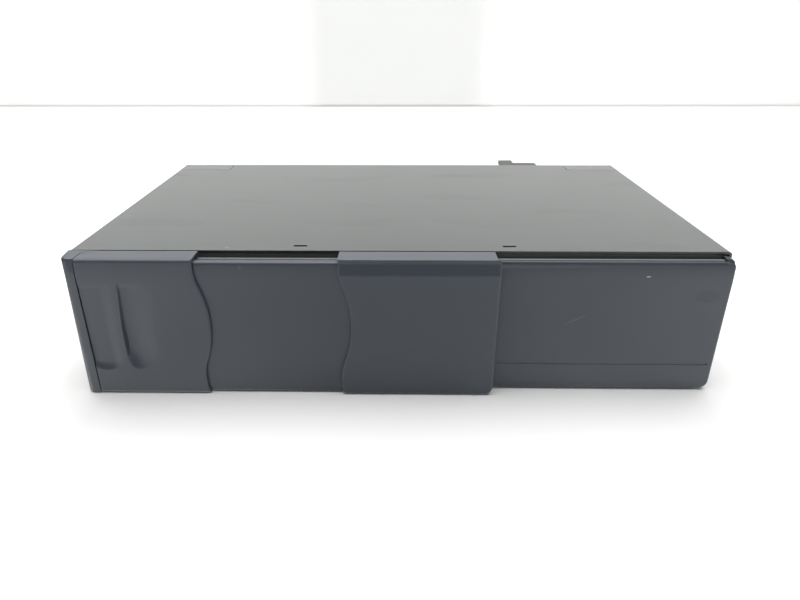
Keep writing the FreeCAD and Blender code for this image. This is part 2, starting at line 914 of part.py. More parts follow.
def board_screws():
    screws = []
    for x, z in board_screw_places():
        head = rod("y", 2.4, (x, board_front() - 1.4, z), 1.4)
        shank = rod("y", s.board_screw_radius, (x, board_front(), z), s.board_thickness + 3)
        screws.append(fuse(head, shank))
    return finish("board_screws", group(*screws))


def board_components():
    """Flat packages on the board's front side and can capacitors behind it."""
    chips = []
    for x, width, z, height in ((-84, 14, 24, 14), (-52, 10, 30, 10), (-18, 20, 22, 20),
                                (22, 9, 34, 6), (40, 9, 20, 6), (96, 12, 26, 12)):
        chips.append(box((x, x + width), (board_front() - s.chip_height, board_front()), (z, z + height)))
    for x, z, radius in ((-70, 20, 3.1), (-60, 20, 3.1), (4, 18, 3.1), (14, 18, 2.5), (30, 40, 2.5)):
        chips.append(rod("y", radius, (x, board_rear(), z), 3.8))
    return finish("board_components", group(*chips))


def rear_socket():
    """Moulded rear socket with its locking tongue standing out behind the case."""
    body = new_body("rear_socket")
    x = socket_hole_x()
    low = s.socket_top - s.socket_height
    rear = rear_face + s.socket_reach
    collar_top = s.case_height - s.socket_collar_drop
    pad(body, "y", (board_rear(), rear), rectangle(x, (low, s.socket_top)))
    pad(body, "y", (rear_face + 0.2, rear), rectangle(x, (s.socket_top - 1, collar_top)))
    wall = s.socket_wall
    pocket(body, "y", (rear - s.socket_bore_depth, rear + 1),
           rectangle((x[0] + wall, x[1] - wall), (low + wall, s.socket_top - s.latch_thickness)))
    pad(body, "y", (rear - 1, rear_face + s.latch_reach), rectangle(
        (x[0], x[0] + s.latch_width), (collar_top - s.latch_thickness, collar_top)))
    return finish("rear_socket", body)


def socket_pins():
    pins = []
    low = s.socket_top - s.socket_height
    rear = rear_face + s.socket_reach - s.socket_bore_depth
    middle = s.socket_left + s.socket_width / 2
    for column in (-1.5, -0.5, 0.5, 1.5):
        for row in (3.0, 6.4):
            start = (middle + s.pin_pitch * column, rear, low + row)
            pins.append(rod("y", s.pin_radius, start, s.pin_length))
    return finish("socket_pins", group(*pins))


# Floating chassis


def damper_places():
    left = mag_left + 12
    right = mag_right - 14
    front = s.front_wall_y + 14
    rear = s.rear_wall_y - 14
    return [(left, front), (right, front), (left, rear), (right, rear)]


def damper_cups():
    """Rubber cups on the base, each with a bore for a chassis pin."""
    cups = []
    for x, y in damper_places():
        cup = rod("z", s.damper_radius, (x, y, s.sheet), s.damper_height)
        bore = rod("z", s.damper_pin_radius + s.damper_pin_fit, (x, y, s.sheet + 1), s.damper_height)
        cups.append(cut(cup, bore))
    return finish("damper_cups", group(*cups))


def damper_pins():
    pins = []
    for x, y in damper_places():
        foot = s.sheet + 1 + s.float_travel + 0.4
        pins.append(rod("z", s.damper_pin_radius, (x, y, foot), s.pan_height - foot))
    return finish("damper_pins", group(*pins))


def slot_outline(start, end, radius):
    """Outline of a straight slot with round ends, by its two end centres."""
    across = end[0] - start[0]
    along = end[1] - start[1]
    length = math.hypot(as_size(across).value, as_size(along).value)
    side_u = along * radius / length
    side_v = across * radius / length
    return [
        (start[0] + side_u, start[1] - side_v),
        (end[0] + side_u, end[1] - side_v),
        (end[0] - side_u, end[1] + side_v, radius * 1.0001),
        (start[0] - side_u, start[1] + side_v),
        (start[0] + side_u, start[1] - side_v, radius * 1.0001),
    ][1:]


def lift_pin_places():
    return (s.lift_pin_first, s.lift_pin_second)


def chassis_frame():
    """Folded chassis: a pan under the magazine, side walls, and slotted walls for the lift."""
    sheet = s.chassis_sheet
    top = chassis_top - sheet
    low = s.pan_height
    play_low = s.deck_wall_bottom
    rear = s.rear_wall_y
    pan = box((chassis_left, deck_left - 0.4), (s.front_wall_y, rear + sheet), (low, low + sheet))
    left_wall = box((chassis_left, chassis_left + sheet), (s.front_wall_y, rear + sheet), (low, top))
    rear_wall = box((chassis_left, chassis_right), (rear, rear + sheet), (low, top))
    rear_low = box((deck_left, chassis_right), (rear, rear + sheet), (play_low, top))
    front_wall = box((s.opening_right + 2, chassis_right), (s.front_wall_y, s.front_wall_y + sheet),
                     (play_low, button_top - s.button_height - 4))
    front_high = box((s.opening_right + 6, chassis_right), (s.front_wall_y, s.front_wall_y + sheet),
                     (play_low, top))
    right_wall = box((chassis_right - sheet, chassis_right), (s.front_wall_y, rear + sheet), (play_low, top))
    clearance = s.lift_pin_radius + s.running_fit
    slots = []
    for x in lift_pin_places():
        for y in (s.front_wall_y - 1, rear - 1):
            low_end = s.lift_pin_height
            high_end = s.lift_pin_height + lift_travel
            slots.append(box((x - clearance, x + clearance), (y, y + sheet + 2),
                             (low_end - clearance, high_end + clearance)))
    pusher = pusher_place()
    slots.append(box((pusher - 3.2, pusher + 3.2), (mag_rear - s.mag_travel - 4, mag_rear + 4),
                     (low - 1, low + 2)))
    shelf_z = wheel_z()[0] - 1.6
    shelf = box((lift_motor_x() - 3, chassis_right), (lift_gear_y() - 7, lift_gear_y() + 7),
                (shelf_z, shelf_z + 0.8))
    slots.append(rod("z", s.axle_radius + 0.5, (lift_motor_x(), lift_gear_y(), shelf_z - 1), 3))
    shell = fuse(pan, left_wall, rear_wall, rear_low, front_wall, front_high, right_wall, shelf, spring_lug())
    return finish("chassis_frame", cut(shell, *slots))


def chassis_bridge():
    """Top plate that ties the chassis walls together, with a window over the spindle."""
    sheet = s.chassis_sheet
    top = chassis_top
    body = new_body("chassis_bridge")
    pad(body, "z", (top - sheet, top),
        rectangle((chassis_left, chassis_right), (s.front_wall_y, s.rear_wall_y + sheet)))
    pocket(body, "z", (top - sheet - 1, top + 1),
           ("circle", spindle_x, disc_y, s.puck_radius + 8),
           rounded((mag_left + 30, mag_right - 30), (disc_y - 30, disc_y + 30), as_size(6)))
    return finish("chassis_bridge", body)


def bridge_screws():
    screws = []
    for x in (chassis_left + 8, chassis_right - 8):
        for y in (s.front_wall_y + 24, s.rear_wall_y - 24):
            screws.append(rod("z", 2.2, (x, y, chassis_top), 1.0))
    return finish("bridge_screws", group(*screws))


def magazine_rails():
    """Two plastic runners on the pan that the magazine slides on."""
    rails = []
    for left in (mag_left + 22, mag_right - 30):
        rails.append(box((left, left + 5), (s.front_wall_y + 1, s.rear_wall_y - 4), (pan_top, mag_bottom)))
    return finish("magazine_rails", group(*rails))


# Magazine and trays


def shelf_places():
    return [level + tray_pitch * number - s.shelf_gap - s.shelf_thickness
            for number in range(1, round(SIZES["tray_count"]))]


def magazine_shell():
    """Box open to the right, with shelves at the front and rear between the trays."""
    wall = s.mag_wall
    body = new_body("magazine_shell")
    pad(body, "z", (mag_bottom, mag_top - wall),
        rectangle((mag_left, mag_right), (s.mag_front, mag_rear)))
    pocket(body, "z", (mag_bottom + wall, mag_top),
           rectangle((mag_left + wall, mag_right + 1), (s.mag_front + wall, mag_rear - wall)))
    shelf_front = (s.mag_front + wall - 0.2, tray_front + s.shelf_depth)
    shelf_rear = (tray_rear - s.shelf_depth, mag_rear - wall + 0.2)
    for z in shelf_places():
        pad(body, "z", (z, z + s.shelf_thickness),
            rectangle((mag_left + wall - 0.2, mag_right - 1), shelf_front),
            rectangle((mag_left + wall - 0.2, mag_right - 1), shelf_rear))
    low = mag_bottom + wall
    pad(body, "z", (low - 0.2, level - s.shelf_gap),
        rectangle((mag_left + wall - 0.2, mag_right - 1), shelf_front),
        rectangle((mag_left + wall - 0.2, mag_right - 1), shelf_rear))
    pocket(body, "z", (mag_bottom - 1, mag_top),
           rectangle((mag_right - s.mag_corner_width, mag_right + 1),
                     (tray_rear - s.shelf_depth - 0.6, mag_rear + 1)))
    return finish("magazine_shell", body)


def magazine_lid():
    """Top plate of the magazine, with the notch that the eject latch holds."""
    body = new_body("magazine_lid")
    notch = (s.lever_pivot_y + 10, s.lever_pivot_y + 13.5 + s.mag_travel)
    pad(body, "z", (mag_top - s.mag_wall, mag_top),
        rectangle((mag_left, mag_right), (s.mag_front, mag_rear)))
    pocket(body, "z", (mag_top - 4, mag_top + 1),
           rectangle((mag_right - s.mag_corner_width, mag_right + 1),
                     (tray_rear - s.shelf_depth - 0.6, mag_rear + 1)),
           rectangle((mag_right - 3, mag_right + 1), notch))
    return finish("magazine_lid", body)


def tray(number):
    """One disc tray: a rimmed plate with a round disc seat and a slot for the turntable."""
    body = new_body("tray_" + str(number))
    z = level + tray_pitch * (number - 1)
    seat = s.disc_radius + s.disc_recess_gap
    hub = s.turntable_radius + 1.6
    pad(body, "z", (z, z + s.tray_plate + s.tray_rim),
        rectangle((tray_left, tray_right), (tray_front, tray_rear)))
    pocket(body, "z", (z + s.tray_plate, z + 9), ("circle", disc_x, disc_y, seat))
    pocket(body, "z", (z - 1, z + 9), [
        (disc_x - hub, tray_front + 2.4),
        (disc_x + hub, tray_front + 2.4),
        (disc_x + hub, disc_y),
        (disc_x - hub, disc_y, hub * 1.0001),
    ])
    notch = tray_hook_place()
    pocket(body, "z", (z - 1, z + 9),
           rectangle((notch - s.hook_notch / 2, notch + s.hook_notch / 2), (tray_rear - 2.2, tray_rear + 1)),
           ("circle", tray_left + 6, tray_front + 6, 2.5))
    return finish("tray_" + str(number), body)


def tray_hook_place():
    """X of the notch in each tray's rear edge that the draw hook holds."""
    return mag_right - 9.6


# Lifting deck


def deck_frame():
    """Deck: an open floor, front and rear walls, the clamp's lugs and the motor's bracket."""
    sheet = s.deck_sheet
    low = s.deck_wall_bottom
    top = s.deck_wall_top
    front = s.deck_front_y
    rear = s.deck_rear_y
    floor_z = (s.deck_floor, s.deck_floor + sheet)
    floor = box((deck_left, s.deck_right), (front, rear + sheet), floor_z)
    well = box((spindle_x - 22, spindle_x + 54), (front + sheet, disc_y + 18),
               (s.deck_floor - 1, s.deck_floor + 3))
    front_wall = box((deck_left, s.deck_right), (front, front + sheet), (low, top))
    rear_wall = box((deck_left, s.deck_rail_right), (rear, rear + sheet), (low, top))
    bracket = box((s.deck_rail_right - 0.8, s.deck_rail_right),
                  (belt_y()[0] - s.draw_motor_length, rear + sheet), (low, s.pulley_height + 4))
    pulley_corner = box((deck_left - 1, deck_left + 8), (belt_y()[0] - 0.8, rear),
                        (s.deck_floor - 1, s.deck_floor + 3))
    apron = box((hinge_x() - 2, hinge_x() + 2), (disc_y - 14, disc_y + 14), floor_z)
    lugs = [box((hinge_x() - 2, hinge_x() + 2), (y, y + 3), (s.deck_floor, hinge_z() + 1.4))
            for y in (disc_y - 14, disc_y + 11)]
    bore = rod("y", s.clamp_pin_radius, (hinge_x(), disc_y - 20, hinge_z()), 40)
    shell = fuse(cut(floor, well, pulley_corner), front_wall, rear_wall, bracket, apron, *lugs)
    return finish("deck_frame", cut(shell, bore))


def hinge_x():
    return tray_right + s.tray_travel + 2.6


def hinge_z():
    return clamp_z() + s.clamp_sheet / 2


def clamp_z():
    """Underside of the clamp arm."""
    return level + s.tray_plate + s.tray_rim + 1.7


def lift_pins():
    """Four pins that stand out of the deck's walls into the cam and chassis slots."""
    pins = []
    for x in lift_pin_places():
        z = s.lift_pin_height
        radius = s.lift_pin_radius
        front = s.deck_front_y - s.front_wall_y
        pins.append(rod("y", radius, (x, s.front_wall_y, z), front))
        start = s.deck_rear_y + s.deck_sheet
        pins.append(rod("y", radius, (x, start, z), s.rear_wall_y + s.chassis_sheet - start))
    return pins


def deck_guides():
    """Plastic guides that carry the drawn tray at its front corners and along its rear edge."""
    top = level - s.shelf_gap
    floor = s.deck_floor + s.deck_sheet
    front = s.deck_front_y + s.deck_sheet
    pieces = []
    for left in (deck_left, spindle_x + 60):
        pieces.append(box((left, left + 4), (front, tray_front + 2), (floor, top)))
    pieces.append(box((deck_left, s.deck_right - 3), (tray_rear - 2.8, tray_rear - 0.8), (floor, top)))
    return finish("deck_guides", group(*pieces))


def post_places():
    left = spindle_x - 21.5
    right = spindle_x + 56
    return [(left, disc_y + 24), (right, disc_y + 24), (right, disc_y - 58)]


def deck_pins():
    """Steel pins riveted to the deck: lift pins, guide posts, clamp hinge and pulley axle."""
    foot = s.deck_floor + s.deck_sheet
    posts = [rod("z", s.post_radius, (x, y, foot), level - 0.5 - foot) for x, y in post_places()]
    hinge = rod("y", s.clamp_pin_radius, (hinge_x(), disc_y - 14, hinge_z()), 28)
    start = belt_y()[0]
    axle = rod("y", s.pulley_axle, (pulley_places()[0], start, s.pulley_height), s.deck_rear_y - start)
    return finish("deck_pins", group(*lift_pins(), *posts, hinge, axle))


# Player unit


def lens_y():
    return disc_y - s.pickup_start


def traverse_plate():
    """Plate that carries the spindle motor, the shafts and the sled drive."""
    body = new_body("traverse_plate")
    left = spindle_x - s.traverse_left_reach
    right = spindle_x + s.traverse_right_reach
    front = s.deck_front_y + 1.6
    window = s.shaft_spread + 3.0
    pad(body, "z", (traverse_bottom, traverse_top), [
        (left, front),
        (spindle_x - window, front),
        (spindle_x - window, disc_y - 13.5),
        (spindle_x + window + 2, disc_y - 13.5),
        (spindle_x + window + 2, front),
        (right, front),
        (right, disc_y + 28),
        (left, disc_y + 28),
    ])
    holes = [("circle", x, y, s.post_radius + s.running_fit) for x, y in post_places()]
    pocket(body, "z", (traverse_bottom - 1, traverse_top + 1),
           ("circle", spindle_x, disc_y, 3), *holes)
    return finish("traverse_plate", body)


def spindle_motor():
    """Flat motor hung under the plate, with its shaft up through it."""
    can = rod("z", s.motor_radius, (spindle_x, disc_y, traverse_bottom - s.motor_height), s.motor_height)
    shaft = rod("z", s.motor_shaft, (spindle_x, disc_y, traverse_bottom - 1),
                flange_top - traverse_bottom + 1)
    return finish("spindle_motor", fuse(can, shaft))


def turned_body(name, profile):
    """A body turned about its own z axis from a half section of (radius, z) points."""
    body = new_body(name)
    origin = {plane.Role: plane for plane in body.Origin.OriginFeatures}
    turned = body.newObject("PartDesign::Revolution", "turned")
    turned.Profile = sketch_on(body, "y", 0, [profile])
    turned.ReferenceAxis = (origin["Z_Axis"], [""])
    turned.Angle = 360
    return body


def turntable():
    """Turned flange and hub that the disc sits on."""
    bore = s.motor_shaft + s.running_fit
    body = turned_body("turntable", [
        (bore, flange_top - s.turntable_thickness),
        (s.turntable_radius, flange_top - s.turntable_thickness),
        (s.turntable_radius, flange_top),
        (s.hub_radius, flange_top),
        (s.hub_radius - 1.2, flange_top + s.hub_height),
        (bore, flange_top + s.hub_height),
    ])
    put(body, spindle_x, disc_y, 0)
    return finish("turntable", body)


def shaft_places():
    return (spindle_x - s.shaft_spread, spindle_x + s.shaft_spread + 2)


def shaft_ends():
    """Y of the front and the rear end of the pickup's guide shafts."""
    return (s.deck_front_y + 1.7, disc_y - 4)


def guide_shafts():
    """Two shafts that the pickup runs on, and the sled gear's short axle."""
    front, rear = shaft_ends()
    shafts = [rod("y", s.shaft_radius, (x, front, s.shaft_height), rear - front) for x in shaft_places()]
    axle = rod("z", s.axle_radius, (sled_gear_x(), sled_pinion_y(), sled_low()),
               traverse_bottom - sled_low())
    return finish("guide_shafts", group(*shafts, axle))


def sled_low():
    """Underside of the sled gear and of the pinion on its motor."""
    return s.shaft_height - 2.4


def shaft_holders():
    """Four hangers under the plate that the shaft ends sit in."""
    front, rear = shaft_ends()
    hangers = []
    for x, side in zip(shaft_places(), (-1, 1)):
        inner = x - side * 2.2
        outer = x + side * 5.6
        strip = x + side * 3.2
        for y in (front, rear - 2):
            block = box(ordered(inner, outer), (y, y + 2), (s.shaft_height - 2, traverse_bottom - 1))
            foot = box(ordered(strip, outer), (y, y + 2), (traverse_bottom - 2, traverse_bottom))
            bore = rod("y", s.shaft_radius, (x, y - 1, s.shaft_height), 4)
            hangers.append(cut(fuse(block, foot), bore))
    return finish("shaft_holders", group(*hangers))


def pickup_body():
    """Optical pickup sled: a block with a bush on one shaft and a fork on the other."""
    y = lens_y()
    z = s.shaft_height
    left, right = shaft_places()
    head = box((spindle_x - 10, spindle_x + 12), (y - 8, y + 10), (z - 2.4, pickup_top()))
    arm = box((left - 2.4, right + 2.2), (y - 3, y + 5), (z - 1.8, z + 1.8))
    bush = box((left - 2.6, left + 2.6), (y - 4, y + 6), (z - 2.1, z + 2.4))
    fork = box((right - 2.2, right + 2.2), (y - 4, y + 6), (z - 2.1, z + 2.4))
    bores = [rod("y", s.shaft_radius + s.running_fit, (x, y - 20, z), 40) for x in (left, right)]
    return finish("pickup_body", cut(fuse(head, arm, bush, fork, pickup_rack()), *bores))


def pickup_top():
    return flange_top - s.lens_drop


def pickup_lens():
    return finish("pickup_lens", rod("z", s.lens_radius, (spindle_x, lens_y(), pickup_top()), s.lens_height))


def tooth_pitch():
    return s.gear_module * math.pi


def rack_line():
    """X of the pickup rack's pitch line."""
    return spindle_x + 29


def sled_pinion_y():
    return lens_y() - 4.7


def rack_body(name, count, back, thick):
    """A toothed bar drawn from its own first tooth, teeth pointing along +u."""
    body = new_body(name)
    origin = {plane.Role: plane for plane in body.Origin.OriginFeatures}
    module = s.gear_module
    pitch = tooth_pitch()
    length = pitch * (count - 1)
    foot = -1.15 * module
    pad(body, "z", thick, rectangle((foot - back, foot), (-pitch / 2, length + pitch / 2)))
    tooth = pad(body, "z", thick, [
        (foot - 0.2, -1.1 * module),
        (foot, -1.1 * module),
        (0.85 * module, -0.36 * module),
        (0.85 * module, 0.36 * module),
        (foot, 1.1 * module),
        (foot - 0.2, 1.1 * module),
    ])
    doc.recompute()
    pattern = body.newObject("PartDesign::LinearPattern", "teeth")
    pattern.Originals = [tooth]
    pattern.Direction = (origin["Y_Axis"], [""])
    bind(pattern, "Length", length)
    pattern.Occurrences = count
    body.Tip = pattern
    return body


def pickup_rack():
    """Toothed bar that is moulded on the pickup's right side."""
    low = s.shaft_height - 0.8
    span = (low, low + 2)
    teeth = math.ceil((s.pickup_travel / tooth_pitch()).value) + 2
    body = rack_body("rack", teeth, 1.6, span)
    put(body, rack_line(), sled_pinion_y() - tooth_pitch() / 2, 0)
    y = lens_y()
    arm = box((shaft_places()[1] + 2, rack_line() - 1.6), (y - 3, y + 5), span)
    return fuse(body, arm)


def gear_body(name, teeth, span, bore, angle):
    """A spur gear about its own z axis with a tooth at the given angle in degrees."""
    body = new_body(name)
    origin = {plane.Role: plane for plane in body.Origin.OriginFeatures}
    module = s.gear_module
    radius = pitch_radius(teeth)
    root = radius - 1.15 * module
    tip = radius + 0.85 * module
    pad(body, "z", span, ("circle", 0, 0, root))
    tooth = pad(body, "z", span, [
        (root - 0.3, -0.98 * module),
        (root, -0.98 * module),
        (radius, -0.68 * module),
        (tip, -0.3 * module),
        (tip, 0.3 * module),
        (radius, 0.68 * module),
        (root, 0.98 * module),
        (root - 0.3, 0.98 * module),
    ])
    doc.recompute()
    pattern = body.newObject("PartDesign::PolarPattern", "teeth")
    pattern.Originals = [tooth]
    pattern.Axis = (origin["Z_Axis"], [""])
    pattern.Angle = 360
    bind(pattern, "Occurrences", teeth)
    body.Tip = pattern
    pocket(body, "z", (span[0] - 1, as_size(span[1]) + 1), ("circle", 0, 0, bore))
    body.Placement = FreeCAD.Placement(
        FreeCAD.Vector(), FreeCAD.Rotation(FreeCAD.Vector(0, 0, 1), angle))
    return body


def pitch_radius(teeth):
    return s.gear_module * teeth / 2


def sled_gear_x():
    return rack_line() + pitch_radius(s.sled_pinion_teeth)


def sled_gear():
    """Compound gear under the plate: a pinion on the rack and a wheel on the motor."""
    low = sled_low()
    bore = s.axle_radius + s.running_fit
    wheel = gear_body("wheel", s.sled_wheel_teeth, (low, low + 1.2), bore, 0)
    pinion = gear_body("pinion", s.sled_pinion_teeth, (low + 1.2, low + 3.6), bore, 0)
    for gear in (wheel, pinion):
        put(gear, sled_gear_x(), sled_pinion_y(), 0)
    return finish("sled_gear", fuse(wheel, pinion))


def sled_motor_x():
    return sled_gear_x() + pitch_radius(s.sled_wheel_teeth + s.sled_motor_teeth)


def sled_motor():
    """Small flat motor under the plate, its shaft pointing down."""
    low = sled_low()
    can = rod("z", 7.3, (sled_motor_x(), sled_pinion_y(), low + 1.6), traverse_bottom - low - 1.6)
    shaft = rod("z", 0.75, (sled_motor_x(), sled_pinion_y(), low), 3)
    return finish("sled_motor", fuse(can, shaft))


def sled_motor_gear():
    low = sled_low()
    gear = gear_body("sled_motor_gear", s.sled_motor_teeth, (low, low + 1.2),
                     0.75 + s.running_fit, 180 / SIZES["sled_motor_teeth"])
    put(gear, sled_motor_x(), sled_pinion_y(), 0)
    return finish("sled_motor_gear", gear)


# Disc clamp


def clamp_arm():
    """Sheet arm over the spindle, with a rolled knuckle on its hinge pin."""
    z = clamp_z()
    half = s.puck_radius
    body = new_body("clamp_arm")
    pad(body, "z", (z, z + s.clamp_sheet), [
        (hinge_x(), disc_y - 10.8),
        (hinge_x(), disc_y + 10.8),
        (spindle_x, disc_y + half),
        (spindle_x, disc_y - half, half * 1.0001),
    ])
    pad(body, "y", (disc_y - 10.8, disc_y + 10.8), ("circle", hinge_x(), hinge_z(), s.clamp_pin_radius + 0.5))
    pocket(body, "y", (disc_y - 12, disc_y + 12),
           ("circle", hinge_x(), hinge_z(), s.clamp_pin_radius + s.running_fit))
    pocket(body, "z", (z - 1, z + 2), ("circle", spindle_x, disc_y, s.puck_radius - 3))
    return finish("clamp_arm", body)


def clamp_puck():
    """Turned puck held in the arm, with a recess for the turntable's hub."""
    z = clamp_z()
    top = z + s.clamp_sheet
    outer = s.puck_radius - 0.5
    waist = s.puck_radius - 3.4
    recess = s.hub_radius + 0.5
    body = turned_body("clamp_puck", [
        (recess, z - 1.2),
        (outer, z - 1.2),
        (outer, z - 0.2),
        (waist, z - 0.2),
        (waist, top + 0.1),
        (s.puck_radius - 1.5, top + 0.1),
        (s.puck_radius - 1.5, top + 0.6),
        (0, top + 0.6),
        (0, z - 0.2),
        (recess, z - 0.2),
    ])
    put(body, spindle_x, disc_y, 0)
    return finish("clamp_puck", body)


# Tray draw drive


def pulley_places():
    return (deck_left + 4, s.deck_rail_right - 5.5)


def belt_y():
    """Front and rear edges of the draw belt."""
    return (s.deck_rear_y - 0.8 - s.belt_width, s.deck_rear_y - 0.8)


def stadium(left, right, z, radius):
    return [
        (right, z - radius),
        (right, z + radius, radius * 1.0001),
        (left, z + radius),
        (left, z - radius, radius * 1.0001),
    ]


def draw_belt():
    body = new_body("draw_belt")
    left, right = pulley_places()
    outer = s.belt_radius + s.belt_thickness
    pad(body, "y", belt_y(), stadium(left, right, s.pulley_height, outer))
    pocket(body, "y", (belt_y()[0] - 1, belt_y()[1] + 1),
           stadium(left, right, s.pulley_height, s.belt_radius))
    return finish("draw_belt", body)


def draw_pulley(name, x):
    """Belt pulley, with flats on its rim so that its turning can be seen."""
    radius = s.belt_radius - s.running_fit
    rim = rod("y", radius, (x, belt_y()[0], s.pulley_height), s.belt_width)
    bore = rod("y", s.pulley_axle + s.running_fit, (x, belt_y()[0] - 1, s.pulley_height), s.belt_width + 2)
    holes = [rod("y", 0.45, (x + dx, belt_y()[0] - 1, s.pulley_height + dz), s.belt_width + 2)
             for dx, dz in ((1.6, 0), (-1.6, 0), (0, 1.6), (0, -1.6))]
    return finish(name, cut(rim, bore, *holes))


def draw_idler():
    return draw_pulley("draw_idler", pulley_places()[0])


def draw_drive_pulley():
    return draw_pulley("draw_drive_pulley", pulley_places()[1])


def draw_motor():
    """Flat-sided geared motor at the right end of the belt."""
    x = pulley_places()[1]
    front = belt_y()[0] - 0.9
    can = box((x - 4.7, s.deck_rail_right - 0.8), (front - s.draw_motor_length, front),
              (s.deck_wall_bottom + 0.2, s.pulley_height + 4))
    shaft = rod("y", s.pulley_axle, (x, front - 1, s.pulley_height), s.deck_rear_y - front + 1)
    return finish("draw_motor", fuse(can, shaft))


def draw_hook():
    """Slider on the belt whose finger stands in the tray's rear notch."""
    top_run = s.pulley_height + s.belt_radius + s.belt_thickness + 0.1
    rear = belt_y()[1] - 0.2
    front = belt_y()[0] + 0.2
    finger = (tray_hook_place() - 1, tray_hook_place() + 1)
    block = box((deck_left + 3.6, deck_left + 9.6), (front, rear), (top_run, top_run + 2.3))
    arm = box((finger[0], deck_left + 4), (front, rear), (top_run, top_run + 1.8))
    post = box(finger, (front, rear), (top_run, level + 1.4))
    tip = box(finger, (tray_rear - 1.7, rear), (level + 0.2, level + 1.4))
    return finish("draw_hook", fuse(block, arm, post, tip))


# Lift drive


def cam_ends():
    """Left and right end of the cam plates at rest."""
    return (s.lift_pin_first - s.cam_margin, s.lift_pin_second + s.cam_travel + s.cam_margin)


def cam_bar():
    """X range of the bar that joins the two cam plates."""
    return (cam_ends()[1] - 24, cam_ends()[1] - 16)


def cam_bar_bottom():
    return s.deck_wall_top + lift_travel + 0.7


def lift_cam():
    """Sliding cam: two slotted plates joined by a bar over the deck."""
    left, right = cam_ends()
    low = s.lift_pin_height - 4
    high = s.lift_pin_height + lift_travel + 4
    bar = cam_bar()
    bar_z = cam_bar_bottom()
    body = new_body("cam_plates")
    plates = ((front_cam_y, front_cam_y + s.cam_sheet), (rear_cam_y - s.cam_sheet, rear_cam_y))
    for span in plates:
        pad(body, "y", span, [
            (left, low), (right, low), (right, high), (bar[1], high),
            (bar[1], bar_z + 1), (bar[0], bar_z + 1), (bar[0], high), (left, high),
        ])
    pad(body, "z", (bar_z, bar_z + 1), rectangle(bar, (plates[0][0], plates[1][1])))
    radius = s.lift_pin_radius + s.running_fit
    for x in lift_pin_places():
        start = (x, s.lift_pin_height)
        end = (x + s.cam_travel, s.lift_pin_height + lift_travel)
        pocket(body, "y", (plates[0][0] - 1, plates[1][1] + 1), slot_outline(start, end, radius))
    return finish("lift_cam", fuse(body, lift_rack()))


def lift_gear_x():
    return cam_bar()[0] - s.cam_travel - 6


def lift_gear_y():
    return disc_y + 32


def lift_rack_z():
    return (cam_bar_bottom() - 2, cam_bar_bottom())


def lift_rack():
    """Toothed bar under the cam's bar, running left to the lift gear."""
    count = 14
    body = rack_body("rack", count, 2.0, lift_rack_z())
    body.Placement = FreeCAD.Placement(
        FreeCAD.Vector(), FreeCAD.Rotation(FreeCAD.Vector(0, 0, 1), 90))
    start = lift_gear_x() + tooth_pitch() * (count - 1.5)
    put(body, start, lift_gear_y() - pitch_radius(s.lift_pinion_teeth), 0)
    y = lift_gear_y() - pitch_radius(s.lift_pinion_teeth) - 1.15 * s.gear_module
    tail = box((start, cam_bar()[1]), (y - 2, y), lift_rack_z())
    return fuse(body, tail)


def wheel_z():
    low = cam_bar_bottom() + 1.2
    return (low, low + 1.6)


def lift_gear():
    """Compound gear: a pinion in the rack under the bar and a wheel above it."""
    bore = s.axle_radius + s.running_fit
    half_tooth = 180 / SIZES["lift_pinion_teeth"]
    wheel = gear_body("wheel", s.lift_wheel_teeth, wheel_z(), bore, 0)
    pinion = gear_body("pinion", s.lift_pinion_teeth, (lift_rack_z()[0], wheel_z()[0]), bore, half_tooth)
    for gear in (wheel, pinion):
        put(gear, lift_gear_x(), lift_gear_y(), 0)
    return finish("lift_gear", fuse(wheel, pinion))


def lift_idler_x():
    return lift_gear_x() + pitch_radius(s.lift_wheel_teeth + s.lift_idler_teeth)


def lift_motor_x():
    return lift_idler_x() + pitch_radius(s.lift_idler_teeth + s.lift_motor_teeth)


def lift_idler():
    gear = gear_body("lift_idler", s.lift_idler_teeth, wheel_z(), s.axle_radius + s.running_fit,
                     180 + 180 / SIZES["lift_idler_teeth"])
    put(gear, lift_idler_x(), lift_gear_y(), 0)
    return finish("lift_idler", gear)


def bridge_pins():
    """Steel pins that hang from the top plate: two gear axles and the lever's pivot."""
    top = chassis_top - s.chassis_sheet
    lowest = lift_rack_z()[0]
    first = rod("z", s.axle_radius, (lift_gear_x(), lift_gear_y(), lowest), top - lowest)
    second = rod("z", s.axle_radius, (lift_idler_x(), lift_gear_y(), wheel_z()[0]), top - wheel_z()[0])
    x = lever_x
    y = s.lever_pivot_y
    pivot = rod("z", s.axle_radius, (x, y, lever_z()[0] - 0.4), top - lever_z()[0] + 0.4)
    head = rod("z", 2.2, (x, y, lever_z()[0] - 1), 0.8)
    return finish("bridge_pins", group(first, second, fuse(pivot, head)))


def lift_motor():
    """Round geared motor that stands in the chassis's right bay."""
    top = wheel_z()[0] - 1.6
    can = rod("z", s.lift_motor_radius, (lift_motor_x(), lift_gear_y(), top - s.lift_motor_length),
              s.lift_motor_length)
    shaft = rod("z", s.axle_radius, (lift_motor_x(), lift_gear_y(), top - 1), wheel_z()[1] - top + 1)
    return finish("lift_motor", fuse(can, shaft))


def lift_motor_gear():
    gear = gear_body("lift_motor_gear", s.lift_motor_teeth, wheel_z(), s.axle_radius + s.running_fit, 0)
    put(gear, lift_motor_x(), lift_gear_y(), 0)
    return finish("lift_motor_gear", gear)


# Eject parts


def button_span():
    right = s.opening_right - 0.6
    return (right - s.button_width, right)


def lever_z():
    low = mag_top + 0.5
    return (low, low + 1.2)


